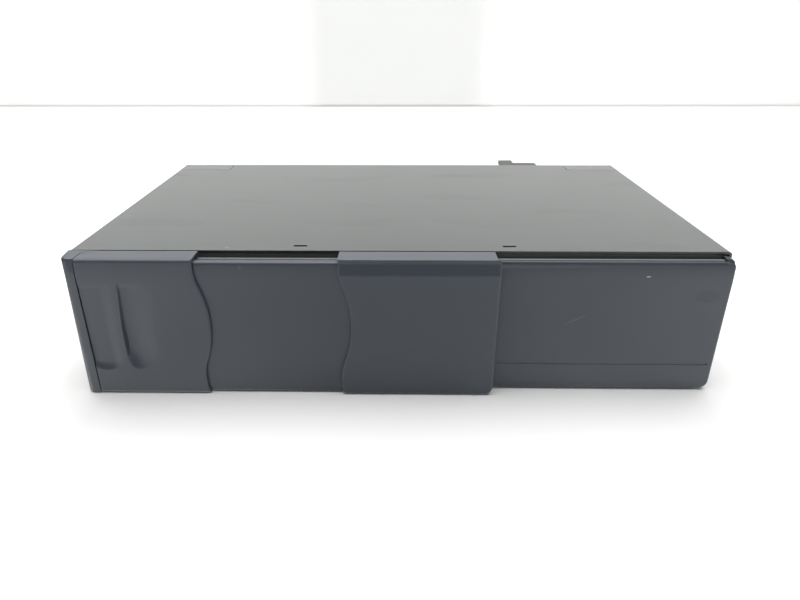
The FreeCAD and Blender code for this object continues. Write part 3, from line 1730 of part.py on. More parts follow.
def eject_button():
    """Push button beside the magazine, with a rod back to the latch lever."""
    body = new_body("eject_button")
    x = button_span()
    pad(body, "y", (-s.button_front, 1), rectangle(x, (button_top - s.button_height, button_top)))
    pad(body, "y", (0.5, s.lever_pivot_y - 1.6),
        rectangle((x[0] + 0.6, x[1] - 0.6), (button_top - 1, button_top)))
    dress(body, "Fillet", 0.6, lambda edge: at(edge, y=-s.button_front))
    return finish("eject_button", body)


def latch_lever():
    """Flat lever: the button's rod turns it, and its hook holds the magazine's lid."""
    body = new_body("latch_lever")
    x = lever_x
    y = s.lever_pivot_y
    span = lever_z()
    reach = x - s.lever_arm
    pad(body, "z", span, ("circle", x, y, 3.2))
    pad(body, "z", span, rectangle((reach - 1, x), (y - 1.2, y + 1.2)))
    pad(body, "z", span, [
        (x - 2.4, y - 1), (x + 1, y + 2.4), (mag_right + 2, y + 13), (mag_right - 2.4, y + 13),
        (mag_right - 2.4, y + 10.4), (mag_right + 0.4, y + 10.4),
    ])
    pad(body, "z", (mag_top - 1.4, span[1]),
        rectangle((mag_right - 2.4, mag_right - 0.4), (y + 10.4, y + 13)))
    pocket(body, "z", (span[0] - 3, span[1] + 1), ("circle", x, y, s.axle_radius + s.running_fit))
    return finish("latch_lever", body)


def pusher_place():
    return mag_left + s.mag_width / 2


def magazine_pusher():
    """Slider under the pan with a tab through its slot, behind the magazine."""
    x = pusher_place()
    y = mag_rear + 0.2
    half = s.pusher_width / 2
    base = box((x - half, x + half), (y - 8, y + 3), (s.pan_height - 1.8, s.pan_height - 0.2))
    tab = box((x - 3, x + 3), (y, y + 2), (s.pan_height - 1.8, mag_bottom + 6))
    hook = box((x - 1.5, x + 1.5), (y - 8, y - 6), (s.pan_height - 4.4, s.pan_height - 1.8))
    return finish("magazine_pusher", fuse(base, tab, hook))


def coil_spring(radius, wire, length, turns, sides):
    """An open coil about z from z = 0: one round wire with many short mitred lengths."""
    steps = round(turns * sides)
    climb = (length - wire) / steps
    points = []
    for step in range(steps + 1):
        angle = 2 * math.pi * step / sides
        points.append(FreeCAD.Vector(
            radius * math.cos(angle), radius * math.sin(angle), wire / 2 + climb * step))
    route = Part.makePolygon(points)
    section = Part.Wire([Part.makeCircle(wire / 2, points[0], points[1] - points[0])])
    mitred = 1
    return route.makePipeShell([section], True, False, mitred)


def float_springs():
    """Open coil springs round the cups, from the base up to the chassis pan."""
    height = SIZES["pan_height"] - SIZES["sheet"]
    coils = []
    for x, y in damper_places():
        coil = coil_spring(SIZES["spring_radius"], SIZES["spring_wire"], height, SIZES["spring_turns"], 12)
        coil.translate(FreeCAD.Vector(x.value, y.value, SIZES["sheet"]))
        coils.append(coil)
    feature = doc.addObject("Part::Feature", "springs")
    feature.Shape = Part.makeCompound(coils)
    return finish("float_springs", feature)


def pusher_spring():
    """Long coil under the pan that draws the pusher forwards."""
    length = SIZES["pusher_spring_length"]
    coil = coil_spring(1.7, 0.5, length, SIZES["pusher_spring_turns"], 10)
    coil.rotate(FreeCAD.Vector(), FreeCAD.Vector(1, 0, 0), 90)
    x = pusher_place().value
    y = (mag_rear - 8).value
    coil.translate(FreeCAD.Vector(x, y, SIZES["pan_height"] - 3.2))
    feature = doc.addObject("Part::Feature", "spring")
    feature.Shape = Part.makeCompound([coil])
    return finish("pusher_spring", feature)


def spring_lug():
    """Folded lug under the pan that holds the front end of the pusher's spring."""
    x = pusher_place()
    y = mag_rear - 8 - s.pusher_spring_length
    return box((x - 3, x + 3), (y - 1, y), (s.pan_height - 5.2, s.pan_height + 0.5))


CASING = [
    top_cover, base_plate, rear_panel, corner_caps, case_screws,
    front_bezel, guide_rail, inner_door, outer_door,
    main_board, board_screws, board_components, rear_socket, socket_pins,
]
CHASSIS = [
    damper_cups, damper_pins, float_springs, chassis_frame, chassis_bridge, bridge_screws,
    magazine_rails, magazine_shell, magazine_lid,
    eject_button, latch_lever, magazine_pusher, pusher_spring,
]
DECK = [
    deck_frame, deck_pins, deck_guides,
    traverse_plate, spindle_motor, turntable, guide_shafts, shaft_holders,
    pickup_body, pickup_lens, sled_gear, sled_motor, sled_motor_gear,
    clamp_arm, clamp_puck,
    draw_belt, draw_idler, draw_drive_pulley, draw_motor, draw_hook,
    lift_cam, lift_gear, lift_idler, bridge_pins, lift_motor, lift_motor_gear,
]

for make in CASING + CHASSIS + DECK:
    make()
for tray_number in range(1, round(SIZES["tray_count"]) + 1):
    tray(tray_number)


def write_parts():
    """Recompute, check every object, and write each sub-part to its own file."""
    doc.recompute()
    for obj in doc.Objects:
        if "Invalid" in obj.State or "Error" in obj.State:
            raise RuntimeError("failed: " + obj.Name + " " + str(obj.State))
    for obj in nodes:
        if obj.Shape.isNull() or not obj.Shape.isValid():
            raise RuntimeError("no valid shape: " + obj.Label)
    os.makedirs("parts", exist_ok=True)
    for obj in nodes:
        obj.Shape.exportStep("parts/" + obj.Label + ".step")


write_parts()
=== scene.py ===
"""Studio scene of the disc changer: its fronts, housing and mechanism, with finishes, light and camera."""

import json
import logging
import math
from collections.abc import Callable
from dataclasses import dataclass
from enum import Enum

import bmesh
import bpy
from mathutils import Matrix, Vector

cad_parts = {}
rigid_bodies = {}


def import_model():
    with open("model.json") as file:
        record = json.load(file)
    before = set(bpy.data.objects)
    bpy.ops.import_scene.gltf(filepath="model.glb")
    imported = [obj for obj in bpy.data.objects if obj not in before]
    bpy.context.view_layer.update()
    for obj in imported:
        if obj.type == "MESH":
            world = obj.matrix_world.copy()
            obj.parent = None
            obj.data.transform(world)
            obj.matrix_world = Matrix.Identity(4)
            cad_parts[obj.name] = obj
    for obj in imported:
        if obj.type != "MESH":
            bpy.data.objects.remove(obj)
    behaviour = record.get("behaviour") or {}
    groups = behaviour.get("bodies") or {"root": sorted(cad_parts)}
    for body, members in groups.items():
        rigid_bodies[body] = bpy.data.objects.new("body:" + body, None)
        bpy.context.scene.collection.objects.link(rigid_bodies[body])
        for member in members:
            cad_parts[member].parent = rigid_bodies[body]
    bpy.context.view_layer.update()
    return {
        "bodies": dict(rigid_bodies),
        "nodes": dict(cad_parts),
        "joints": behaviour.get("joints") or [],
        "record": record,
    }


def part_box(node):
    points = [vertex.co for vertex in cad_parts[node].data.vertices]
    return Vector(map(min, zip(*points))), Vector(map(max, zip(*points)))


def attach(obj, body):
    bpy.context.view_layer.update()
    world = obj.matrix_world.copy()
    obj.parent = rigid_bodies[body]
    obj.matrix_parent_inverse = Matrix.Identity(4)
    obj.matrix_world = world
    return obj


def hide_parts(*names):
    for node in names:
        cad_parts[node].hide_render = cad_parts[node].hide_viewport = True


MM = 0.001
LEAN_FROM, LEAN_RATE = 48.5, 0.0125
CREASE_HEIGHT, CREASE_SLOPE = 52.4, 0.27
log = logging.getLogger("disc_changer")
Socket = bpy.types.NodeSocket
Colour = tuple[float, float, float]


class Build(Enum):
    """How a finish's surface is made, which decides its grain."""

    MOULDED = "moulded plastic"
    PAINTED = "painted sheet"
    SHEET = "plated sheet"
    TURNED = "ground or drawn metal"
    RUBBER = "rubber"
    BOARD = "coated board"
    GLASS = "clear lens"


@dataclass(frozen=True)
class Finish:
    """One surface finish: its colour, gloss, grain and wear, with lengths in metres."""

    build: Build
    colour: Colour
    roughness: float
    metallic: float = 0.0
    coat: float = 0.0
    grain: float = 0.0004
    relief: float = 0.00002
    drift: float = 0.06
    worn: Colour = (0.3, 0.3, 0.3)
    wear: float = 0.3
    soft_edge: float = 0.0002


FINISHES: dict[str, Finish] = {
    "cover_paint": Finish(Build.PAINTED, (0.055, 0.06, 0.0595), 0.28, grain=0.0006, relief=0.000004, drift=0.03,
                          worn=(0.2, 0.2, 0.2), wear=0.35, soft_edge=0.0003),
    "zinc_sheet": Finish(Build.SHEET, (0.5, 0.51, 0.515), 0.3, metallic=1.0, grain=0.006, relief=0.00001,
                         worn=(0.75, 0.75, 0.75), wear=0.4),
    "front_plastic": Finish(Build.MOULDED, (0.048, 0.058, 0.074), 0.36, grain=0.00035, relief=0.000006, drift=0.04,
                            worn=(0.12, 0.12, 0.13), wear=0.2, soft_edge=0.0003),
    "black_plastic": Finish(Build.MOULDED, (0.02, 0.02, 0.022), 0.45, worn=(0.1, 0.1, 0.1)),
    "cap_plastic": Finish(Build.MOULDED, (0.07, 0.075, 0.075), 0.27, grain=0.0004, relief=0.000004, drift=0.03,
                          worn=(0.2, 0.2, 0.21), soft_edge=0.0002),
    # Lighter than the black paint of the guide rail and the cover's fold: painted light that lifts the shaded channel
    # behind the front's top edge.
    "channel_painted_light": Finish(Build.PAINTED, (0.12, 0.124, 0.128), 0.42, worn=(0.3, 0.3, 0.3), wear=0.5),
    "white_plastic": Finish(Build.MOULDED, (0.74, 0.73, 0.68), 0.4, coat=0.05, worn=(0.85, 0.84, 0.8)),
    "magazine_plastic": Finish(Build.MOULDED, (0.055, 0.058, 0.064), 0.48, grain=0.0006, relief=0.00003,
                               worn=(0.2, 0.2, 0.21)),
    "tray_plastic": Finish(Build.MOULDED, (0.13, 0.135, 0.145), 0.38, worn=(0.3, 0.3, 0.31)),
    "steel_rod": Finish(Build.TURNED, (0.66, 0.67, 0.68), 0.2, metallic=1.0, grain=0.0003, relief=0.000003),
    "spring_steel": Finish(Build.TURNED, (0.5, 0.5, 0.51), 0.32, metallic=1.0, grain=0.0004, relief=0.000004),
    "zinc_screw": Finish(Build.TURNED, (0.62, 0.62, 0.6), 0.3, metallic=1.0, grain=0.0008, relief=0.000006),
    "black_screw": Finish(Build.PAINTED, (0.03, 0.03, 0.032), 0.38, coat=0.1, worn=(0.3, 0.3, 0.3), wear=0.5),
    "motor_can": Finish(Build.TURNED, (0.55, 0.56, 0.57), 0.26, metallic=1.0, grain=0.001, relief=0.000004),
    "brass_pin": Finish(Build.TURNED, (0.78, 0.62, 0.3), 0.24, metallic=1.0, grain=0.0004, relief=0.000002),
    "damper_rubber": Finish(Build.RUBBER, (0.025, 0.025, 0.026), 0.62, grain=0.0008, relief=0.00004, wear=0.1),
    "belt_rubber": Finish(Build.RUBBER, (0.02, 0.02, 0.02), 0.55, grain=0.0006, relief=0.00002, wear=0.1),
    "board_green": Finish(Build.BOARD, (0.035, 0.16, 0.075), 0.3, coat=0.3, grain=0.0025, relief=0.000015),
    "chip_black": Finish(Build.MOULDED, (0.018, 0.018, 0.019), 0.5, grain=0.0003, wear=0.15),
    "lens_glass": Finish(Build.GLASS, (0.72, 0.8, 0.95), 0.03, drift=0.02),
}


@dataclass(frozen=True)
class Mark:
    """A soft oval mark on the front: its middle, turn and half sizes, in metres, and where it is full."""

    middle: Colour
    turn: float
    half: Colour
    full: float


CHIP = Mark((0.0958, -0.0848, 0.0504), 0.05, (0.0011, 0.02, 0.00032), 0.5)
RUBBED_LINE = Mark((0.07, -0.0848, 0.032), 0.5, (0.0056, 0.02, 0.0006), 0.3)
DULL_PATCH = Mark((0.1195, -0.0848, 0.0422), 0.05, (0.006, 0.02, 0.0032), 0.6)


class Sheet:
    """A shader tree being drawn, with short ways to add and join its nodes."""

    def __init__(self, tree: bpy.types.NodeTree) -> None:
        """Keep the tree that the nodes go into."""
        self.tree = tree

    def add(self, kind: str, inputs: dict | None = None, **settings: object) -> bpy.types.Node:
        """Add a node.

        Args:
            kind: the node's type name.
            inputs: input names or numbers with the socket or value that each takes.
            settings: properties of the node.

        Returns:
            The new node.
        """
        node = self.tree.nodes.new(kind)
        for name, value in settings.items():
            setattr(node, name, value)
        for name, value in (inputs or {}).items():
            if isinstance(value, Socket):
                self.tree.links.new(value, node.inputs[name])
            else:
                node.inputs[name].default_value = value
        return node

    def sum(self, operation: str, first: Socket | float, second: Socket | float = 0.0) -> Socket:
        """Join two numbers.

        Args:
            operation: the Math node's operation.
            first: the first number.
            second: the second number.

        Returns:
            The result's socket.
        """
        return self.add("ShaderNodeMath", {0: first, 1: second}, operation=operation).outputs[0]

    def limits(self, value: Socket, low: float, high: float, bottom: float = 0.0, top: float = 1.0) -> Socket:
        """Stretch a span of a value over another span, clamped.

        Args:
            value: the value.
            low: where the span starts.
            high: where the span ends.
            bottom: the result at its start.
            top: the result at its end.

        Returns:
            The result's socket.
        """
        return self.add("ShaderNodeMapRange", {0: value, 1: low, 2: high, 3: bottom, 4: top}).outputs[0]

    def mix(self, share: Socket | float, first: Socket | tuple, second: Socket | tuple) -> Socket:
        """Mix two colours.

        Args:
            share: how much of the second colour.
            first: the first colour.
            second: the second colour.

        Returns:
            The mixed colour's socket.
        """
        inputs = {0: share, 6: first, 7: second}
        return self.add("ShaderNodeMix", inputs, data_type="RGBA").outputs[2]

    def noise(self, vector: Socket, scale: Socket | float, detail: float = 3.0) -> Socket:
        """Add a noise pattern.

        Args:
            vector: where the pattern is read.
            scale: how fine it is, in turns a metre.
            detail: how many finer layers it has.

        Returns:
            The pattern's socket, about 0.5 on average.
        """
        inputs = {"Vector": vector, "Scale": scale, "Detail": detail}
        return self.add("ShaderNodeTexNoise", inputs).outputs[0]


class SharedPatterns:
    """The node groups that several finishes use: grain, edge wear, tone drift and hairlines."""

    def __init__(self) -> None:
        """Draw each group once."""
        self.grain = self.draw_grain()
        self.wear = self.draw_wear()
        self.drift = self.draw_drift()
        self.hairlines = self.draw_hairlines()
        self.handling = self.draw_handling()
        self.scuffs = self.draw_scuffs()

    @staticmethod
    def start(name: str, inputs: dict[str, str], outputs: dict[str, str]) -> tuple[Sheet, dict[str, Socket], dict]:
        """Open a new group.

        Args:
            name: the group's name.
            inputs: names and kinds of its inputs.
            outputs: names and kinds of its outputs.

        Returns:
            Its sheet, its input sockets and its output sockets.
        """
        tree = bpy.data.node_groups.new(name, "ShaderNodeTree")
        for way, sockets in (("INPUT", inputs), ("OUTPUT", outputs)):
            for label, kind in sockets.items():
                tree.interface.new_socket(label, in_out=way, socket_type="NodeSocket" + kind)
        sheet = Sheet(tree)
        into = sheet.add("NodeGroupInput").outputs
        out = sheet.add("NodeGroupOutput").inputs
        return sheet, {label: into[label] for label in inputs}, {label: out[label] for label in outputs}

    def draw_grain(self) -> bpy.types.NodeTree:
        """Fine moulded or sprayed grain as a height and a mask."""
        sheet, given, out = self.start(
            "surface_grain", {"Vector": "Vector", "Scale": "Float"}, {"Height": "Float", "Mask": "Float"})
        cells = sheet.add("ShaderNodeTexVoronoi", {"Vector": given["Vector"], "Scale": given["Scale"]},
                          feature="SMOOTH_F1")
        cloud = sheet.noise(given["Vector"], sheet.sum("MULTIPLY", given["Scale"], 0.6))
        height = sheet.sum("ADD", sheet.sum("MULTIPLY", cells.outputs["Distance"], 0.6), cloud)
        sheet.tree.links.new(height, out["Height"])
        sheet.tree.links.new(sheet.limits(cloud, 0.35, 0.65), out["Mask"])
        return sheet.tree

    def draw_wear(self) -> bpy.types.NodeTree:
        """Rubbed edges: where a rounded normal leaves the true one, broken up by noise."""
        sheet, given, out = self.start(
            "edge_wear", {"Vector": "Vector", "Radius": "Float", "Amount": "Float"}, {"Mask": "Float"})
        rounded = sheet.add("ShaderNodeBevel", {"Radius": given["Radius"]}, samples=4).outputs[0]
        true = sheet.add("ShaderNodeNewGeometry").outputs["Normal"]
        facing = sheet.add("ShaderNodeVectorMath", {0: rounded, 1: true}, operation="DOT_PRODUCT").outputs["Value"]
        edge = sheet.limits(sheet.sum("SUBTRACT", 1.0, facing), 0.02, 0.25)
        patches = sheet.limits(sheet.noise(given["Vector"], 160.0, 5.0), 0.42, 0.62)
        mask = sheet.sum("MULTIPLY", sheet.sum("MULTIPLY", edge, patches), given["Amount"])
        sheet.tree.links.new(mask, out["Mask"])
        return sheet.tree

    def draw_drift(self) -> bpy.types.NodeTree:
        """Slow change of tone over the surface, round 1."""
        sheet, given, out = self.start(
            "tone_drift", {"Vector": "Vector", "Spread": "Float"}, {"Tone": "Float"})
        broad = sheet.sum("SUBTRACT", sheet.noise(given["Vector"], 14.0), 0.5)
        close = sheet.sum("SUBTRACT", sheet.noise(given["Vector"], 90.0), 0.5)
        both = sheet.sum("ADD", sheet.sum("MULTIPLY", broad, 2.4), close)
        sheet.tree.links.new(sheet.sum("ADD", sheet.sum("MULTIPLY", both, given["Spread"]), 1.0), out["Tone"])
        return sheet.tree

    def draw_hairlines(self) -> bpy.types.NodeTree:
        """Long faint lines along X, as rolling, brushing or wiping leaves them."""
        sheet, given, out = self.start(
            "hairlines", {"Vector": "Vector", "Scale": "Float"}, {"Lines": "Float"})
        stretched = sheet.add("ShaderNodeVectorMath", {0: given["Vector"], 1: (0.03, 1.0, 1.0)},
                              operation="MULTIPLY").outputs[0]
        lines = sheet.noise(stretched, given["Scale"], 4.0)
        sheet.tree.links.new(sheet.limits(lines, 0.3, 0.7), out["Lines"])
        return sheet.tree

    def draw_handling(self) -> bpy.types.NodeTree:
        """Smears and small nicks from handling, as a mask."""
        sheet, given, out = self.start(
            "handling_marks", {"Vector": "Vector"}, {"Smear": "Float", "Nicks": "Float"})
        turned = sheet.add("ShaderNodeMapping", {"Vector": given["Vector"], "Rotation": (0.3, 0.5, 0.4),
                                                 "Scale": (0.5, 1.6, 1.6)}).outputs[0]
        smear = sheet.limits(sheet.noise(turned, 38.0, 5.0), 0.55, 0.75)
        nick_cells = sheet.add("ShaderNodeTexVoronoi", {"Vector": given["Vector"], "Scale": 70.0}).outputs["Distance"]
        rare = sheet.limits(sheet.noise(given["Vector"], 21.0), 0.6, 0.64)
        nicks = sheet.sum("MULTIPLY", sheet.limits(nick_cells, 0.07, 0.03), rare)
        sheet.tree.links.new(smear, out["Smear"])
        sheet.tree.links.new(nicks, out["Nicks"])
        return sheet.tree

    def draw_scuffs(self) -> bpy.types.NodeTree:
        """The few marks that stand out on the front: a chip, a rubbed line and a dull patch."""
        sheet, given, out = self.start(
            "front_scuffs", {"Vector": "Vector"}, {"Chip": "Float", "Rub": "Float", "Patch": "Float"})

        def oval(mark: Mark) -> Socket:
            """The mask of a mark."""
            moved = sheet.add("ShaderNodeVectorMath", {0: given["Vector"], 1: mark.middle},
                              operation="SUBTRACT").outputs[0]
            turned = sheet.add("ShaderNodeVectorRotate", {"Vector": moved, "Angle": mark.turn},
                               rotation_type="Y_AXIS").outputs[0]
            scaled = sheet.add("ShaderNodeVectorMath", {0: turned, 1: mark.half}, operation="DIVIDE").outputs[0]
            far = sheet.add("ShaderNodeVectorMath", {0: scaled}, operation="LENGTH").outputs["Value"]
            return sheet.limits(far, 1.0, mark.full)

        fine = sheet.limits(sheet.noise(given["Vector"], 900.0), 0.4, 0.6, 0.4, 1.0)
        rub = sheet.sum("MULTIPLY", sheet.sum("MULTIPLY", oval(RUBBED_LINE), fine), 0.7)
        sheet.tree.links.new(oval(CHIP), out["Chip"])
        sheet.tree.links.new(rub, out["Rub"])
        sheet.tree.links.new(sheet.sum("MULTIPLY", oval(DULL_PATCH), 0.45), out["Patch"])
        return sheet.tree


class Paintbox:
    """Builds the material of each finish and hands it to the pieces."""

    def __init__(self, patterns: SharedPatterns) -> None:
        """Build every finish's material from the shared patterns."""
        self.patterns = patterns
        self.materials = {slot: self.mix_material(slot, finish) for slot, finish in FINISHES.items()}

    def __getitem__(self, slot: str) -> bpy.types.Material:
        """The material of a slot."""
        return self.materials[slot]

    def group(self, sheet: Sheet, tree: bpy.types.NodeTree, inputs: dict) -> bpy.types.Node:
        """Place a shared group.

        Args:
            sheet: the material's sheet.
            tree: the shared group.
            inputs: its values.

        Returns:
            The group's node.
        """
        return sheet.add("ShaderNodeGroup", inputs, node_tree=tree)

    def mix_material(self, slot: str, finish: Finish) -> bpy.types.Material:
        """Build the material of one finish.

        Args:
            slot: the record's slot that it stands for.
            finish: its values.

        Returns:
            The material.
        """
        material = bpy.data.materials.new(slot)
        material.use_nodes = True
        material.node_tree.nodes.clear()
        sheet = Sheet(material.node_tree)
        place = sheet.add("ShaderNodeTexCoord").outputs["Object"]
        grain = self.group(sheet, self.patterns.grain, {"Vector": place, "Scale": 1.0 / finish.grain})
        tone = self.group(sheet, self.patterns.drift, {"Vector": place, "Spread": finish.drift}).outputs["Tone"]
        wear = self.group(sheet, self.patterns.wear, {
            "Vector": place, "Radius": finish.soft_edge * 2.5, "Amount": finish.wear}).outputs["Mask"]
        marks = self.group(sheet, self.patterns.handling, {"Vector": place})
        toned = sheet.add("ShaderNodeVectorMath", {0: finish.colour, "Scale": tone}, operation="SCALE").outputs[0]
        colour = sheet.mix(wear, toned, (*finish.worn, 1.0))
        rough = sheet.sum("MULTIPLY", tone, finish.roughness)
        height = grain.outputs["Height"]
        if finish.build in (Build.MOULDED, Build.PAINTED, Build.RUBBER):
            smear = marks.outputs["Smear"]
            colour = sheet.mix(sheet.sum("MULTIPLY", marks.outputs["Nicks"], 0.5), colour, (*finish.worn, 1.0))
            rough = sheet.sum("ADD", rough, sheet.sum("MULTIPLY", smear, 0.04))
        if finish.build is Build.PAINTED:
            lines = self.group(sheet, self.patterns.hairlines, {"Vector": place, "Scale": 420.0}).outputs[0]
            rough = sheet.sum("ADD", rough, sheet.sum("MULTIPLY", lines, 0.015))
            height = sheet.sum("ADD", height, sheet.sum("MULTIPLY", lines, 0.06))
        if finish.build in (Build.SHEET, Build.TURNED):
            lines = self.group(sheet, self.patterns.hairlines, {"Vector": place, "Scale": 900.0}).outputs[0]
            spangle = sheet.add("ShaderNodeTexVoronoi", {"Vector": place, "Scale": 160.0}).outputs["Color"]
            if finish.build is Build.SHEET:
                crystal = sheet.sum("MULTIPLY", sheet.limits(spangle, 0.2, 0.8), 0.3)
                dull = sheet.sum("MULTIPLY", marks.outputs["Smear"], 0.25)
                colour = sheet.mix(sheet.sum("ADD", crystal, dull), colour, (0.3, 0.305, 0.31, 1.0))
            shine = sheet.sum("ADD", sheet.sum("MULTIPLY", spangle, 0.12), sheet.sum("MULTIPLY", lines, 0.1))
            rough = sheet.sum("ADD", rough, shine)
            height = sheet.sum("ADD", height, lines)
        if finish.build is Build.BOARD:
            tracks = sheet.add("ShaderNodeTexBrick", {
                "Vector": place, "Scale": 140.0, "Mortar Size": 0.07, "Color1": (1.0, 1.0, 1.0, 1.0),
                "Color2": (0.8, 0.8, 0.8, 1.0), "Mortar": (0.0, 0.0, 0.0, 1.0)}).outputs["Color"]
            colour = sheet.mix(sheet.limits(tracks, 0.0, 1.0, 0.35, 0.0), colour, (0.09, 0.3, 0.15, 1.0))
        if slot == "front_plastic":
            scuffs = self.group(sheet, self.patterns.scuffs, {"Vector": place})
            colour = sheet.mix(scuffs.outputs["Chip"], colour, (0.5, 0.5, 0.5, 1.0))
            colour = sheet.mix(scuffs.outputs["Rub"], colour, (0.11, 0.115, 0.12, 1.0))
            colour = sheet.mix(scuffs.outputs["Patch"], colour, (0.03, 0.034, 0.042, 1.0))
            height = sheet.sum("SUBTRACT", height, sheet.sum("MULTIPLY", scuffs.outputs["Patch"], 3.0))
        smooth = sheet.add("ShaderNodeBevel", {"Radius": finish.soft_edge}, samples=4).outputs[0]
        bump = sheet.add("ShaderNodeBump", {
            "Height": height, "Distance": finish.relief, "Strength": 1.0, "Normal": smooth}).outputs[0]
        shader = sheet.add("ShaderNodeBsdfPrincipled", {
            "Base Color": colour, "Roughness": rough, "Normal": bump, "Metallic": finish.metallic,
            "Coat Weight": finish.coat, "Coat Roughness": 0.15})
        if finish.build is Build.GLASS:
            shader.inputs["Transmission Weight"].default_value = 0.6
            shader.inputs["Coat Weight"].default_value = 1.0
        output = sheet.add("ShaderNodeOutputMaterial")
        sheet.tree.links.new(shader.outputs[0], output.inputs["Surface"])
        return material


class Maker:
    """Turns finished meshes into pieces that ride on a body."""

    def __init__(self, frame: dict, paints: Paintbox) -> None:
        """Keep the frame and the materials, and find the drawing's front line."""
        self.nodes: dict[str, bpy.types.Object] = frame["nodes"]
        self.record: dict = frame["record"]
        self.paints = paints
        self.front_line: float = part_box("top_cover")[0].y

    def at(self, x: float, y: float, z: float) -> Vector:
        """A point of the drawing, in millimetres behind the cover's front edge, in the frame's metres."""
        return Vector((x * MM, y * MM + self.front_line, z * MM))

    def copy_of(self, node: str) -> bmesh.types.BMesh:
        """A merged copy of a node's mesh, with its flat faces joined.

        Args:
            node: the node's name.

        Returns:
            The copy, to be freed by the caller.
        """
        work = bmesh.new()
        work.from_mesh(self.nodes[node].data)
        bmesh.ops.remove_doubles(work, verts=work.verts, dist=0.000002)
        bmesh.ops.dissolve_limit(work, angle_limit=math.radians(0.5), verts=work.verts, edges=work.edges)
        return work

    def finish_piece(self, name: str, work: bmesh.types.BMesh, slot: str, body: str,
                     *replaced: str, sharp: float = 32.0) -> bpy.types.Object:
        """Make a piece of a mesh and ride it on a body.

        Args:
            name: the piece's name.
            work: its mesh, which is freed.
            slot: the material slot.
            body: the body that it rides on.
            replaced: the nodes that it stands for.
            sharp: edges steeper than this many degrees stay sharp.

        Returns:
            The piece.
        """
        bmesh.ops.recalc_face_normals(work, faces=work.faces)
        mesh = bpy.data.meshes.new(name)
        work.to_mesh(mesh)
        work.free()
        mesh.shade_smooth()
        mesh.set_sharp_from_angle(angle=math.radians(sharp))
        mesh.materials.append(self.paints[slot])
        piece = bpy.data.objects.new(name, mesh)
        bpy.context.scene.collection.objects.link(piece)
        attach(piece, body)
        if replaced:
            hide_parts(*replaced)
        log.info("piece %s: %d faces on %s", name, len(mesh.polygons), body)
        return piece

    def block(self, work: bmesh.types.BMesh, low: Vector, high: Vector,
              round_edge: float = 0.0) -> list[bmesh.types.BMVert]:
        """Add a box, with rounded edges where a radius is given.

        Args:
            work: the mesh that it goes into.
            low: its lowest corner.
            high: its highest corner.
            round_edge: the edges' radius.

        Returns:
            The corners of a box whose edges are sharp.
        """
        spot = Matrix.Translation((low + high) / 2) @ Matrix.Diagonal((*(high - low), 1.0))
        made = bmesh.ops.create_cube(work, size=1.0, matrix=spot)["verts"]
        if not round_edge:
            return made
        edges = list({edge for vert in made for edge in vert.link_edges})
        bmesh.ops.bevel(work, geom=edges, offset=round_edge, offset_type="OFFSET", affect="EDGES",
                        segments=3, profile=0.5, material=-1)
        return []


def spaced(low: float, high: float, first: float, last: float, count: int) -> list[float]:
    """Marks along a span, close together where its ends are rounded.

    Args:
        low: where it starts.
        high: where it ends.
        first: the radius at its start.
        last: the radius at its end.
        count: how many equal steps the flat part has.

    Returns:
        The marks, in order.
    """
    turn = [1 - math.cos(math.radians(angle)) for angle in (0, 15, 30, 45, 60, 75)]
    start = [low + first * share for share in turn]
    end = [high - last * share for share in reversed(turn)]
    flat_low, flat_high = low + first, high - last
    flat = [flat_low + (flat_high - flat_low) * step / count for step in range(count + 1)]
    return start + flat + end


def round_off(distance: float, radius: float) -> float:
    """How far a surface drops at a distance from an edge of a radius."""
    if distance >= radius:
        return 0.0
    reach = radius - max(distance, 0.0)
    return radius - math.sqrt(max(radius * radius - reach * reach, 0.0))


def lean(z: float, crisp: bool = False) -> float:
    """How far the fronts lean back at a height near their top, in millimetres.

    Args:
        z: the height.
        crisp: whether the lean starts at a crease.

    Returns:
        The depth.
    """
    if crisp:
        return max(z - CREASE_HEIGHT, 0.0) * CREASE_SLOPE
    return max(z - LEAN_FROM, 0.0) ** 2 * LEAN_RATE


@dataclass
class Wave:
    """The wavy joint between the doors: its straight line, its swell and its foot, in millimetres."""

    base: float
    swell: float = 4.4
    middle: float = 31.5
    half: float = 23.5
    blend: float = 20.0
    foot: float = 5.5
    flare: float = 1.1

    def x(self, z: float) -> float:
        """The joint's place across the front at a height.

        Args:
            z: the height.

        Returns:
            Its x.
        """
        both = (self.half ** 2 + self.swell ** 2) / (self.swell * 2)
        share = self.blend / both
        main = both - self.blend
        reach = abs(z - self.middle)
        if z < self.foot:
            return self.base + self.flare * ((self.foot - z) / self.foot) ** 2
        if reach >= self.half:
            return self.base
        if reach >= self.half * (1 - share):
            return self.base + self.blend - math.sqrt(self.blend ** 2 - (self.half - reach) ** 2)
        return self.base + self.swell - main + math.sqrt(main ** 2 - reach ** 2)


@dataclass
class FaceShape:
    """A moulded front's skin, in millimetres of the drawing: its plane, heights, rounding and upper slope."""

    face: float
    low: float
    top: float
    crisp: bool = False
    leaning: float = 1.0
    thick: float = 3.4
    round_top: float = 1.2
    round_low: float = 1.2
    round_left: float = 1.0
    round_right: float = 0.9

    def depth(self, z: float, from_left: float, from_right: float) -> float:
        """How far back the skin lies from its plane.

        Args:
            z: the height.
            from_left: distance from the left edge.
            from_right: distance from the right edge.

        Returns:
            The depth.
        """
        slope = lean(z, self.crisp) * self.leaning
        edges = (round_off(self.top - z, self.round_top), round_off(z - self.low, self.round_low),
                 round_off(from_left, self.round_left), round_off(from_right, self.round_right))
        return min(slope + max(edges), self.thick - 0.1)


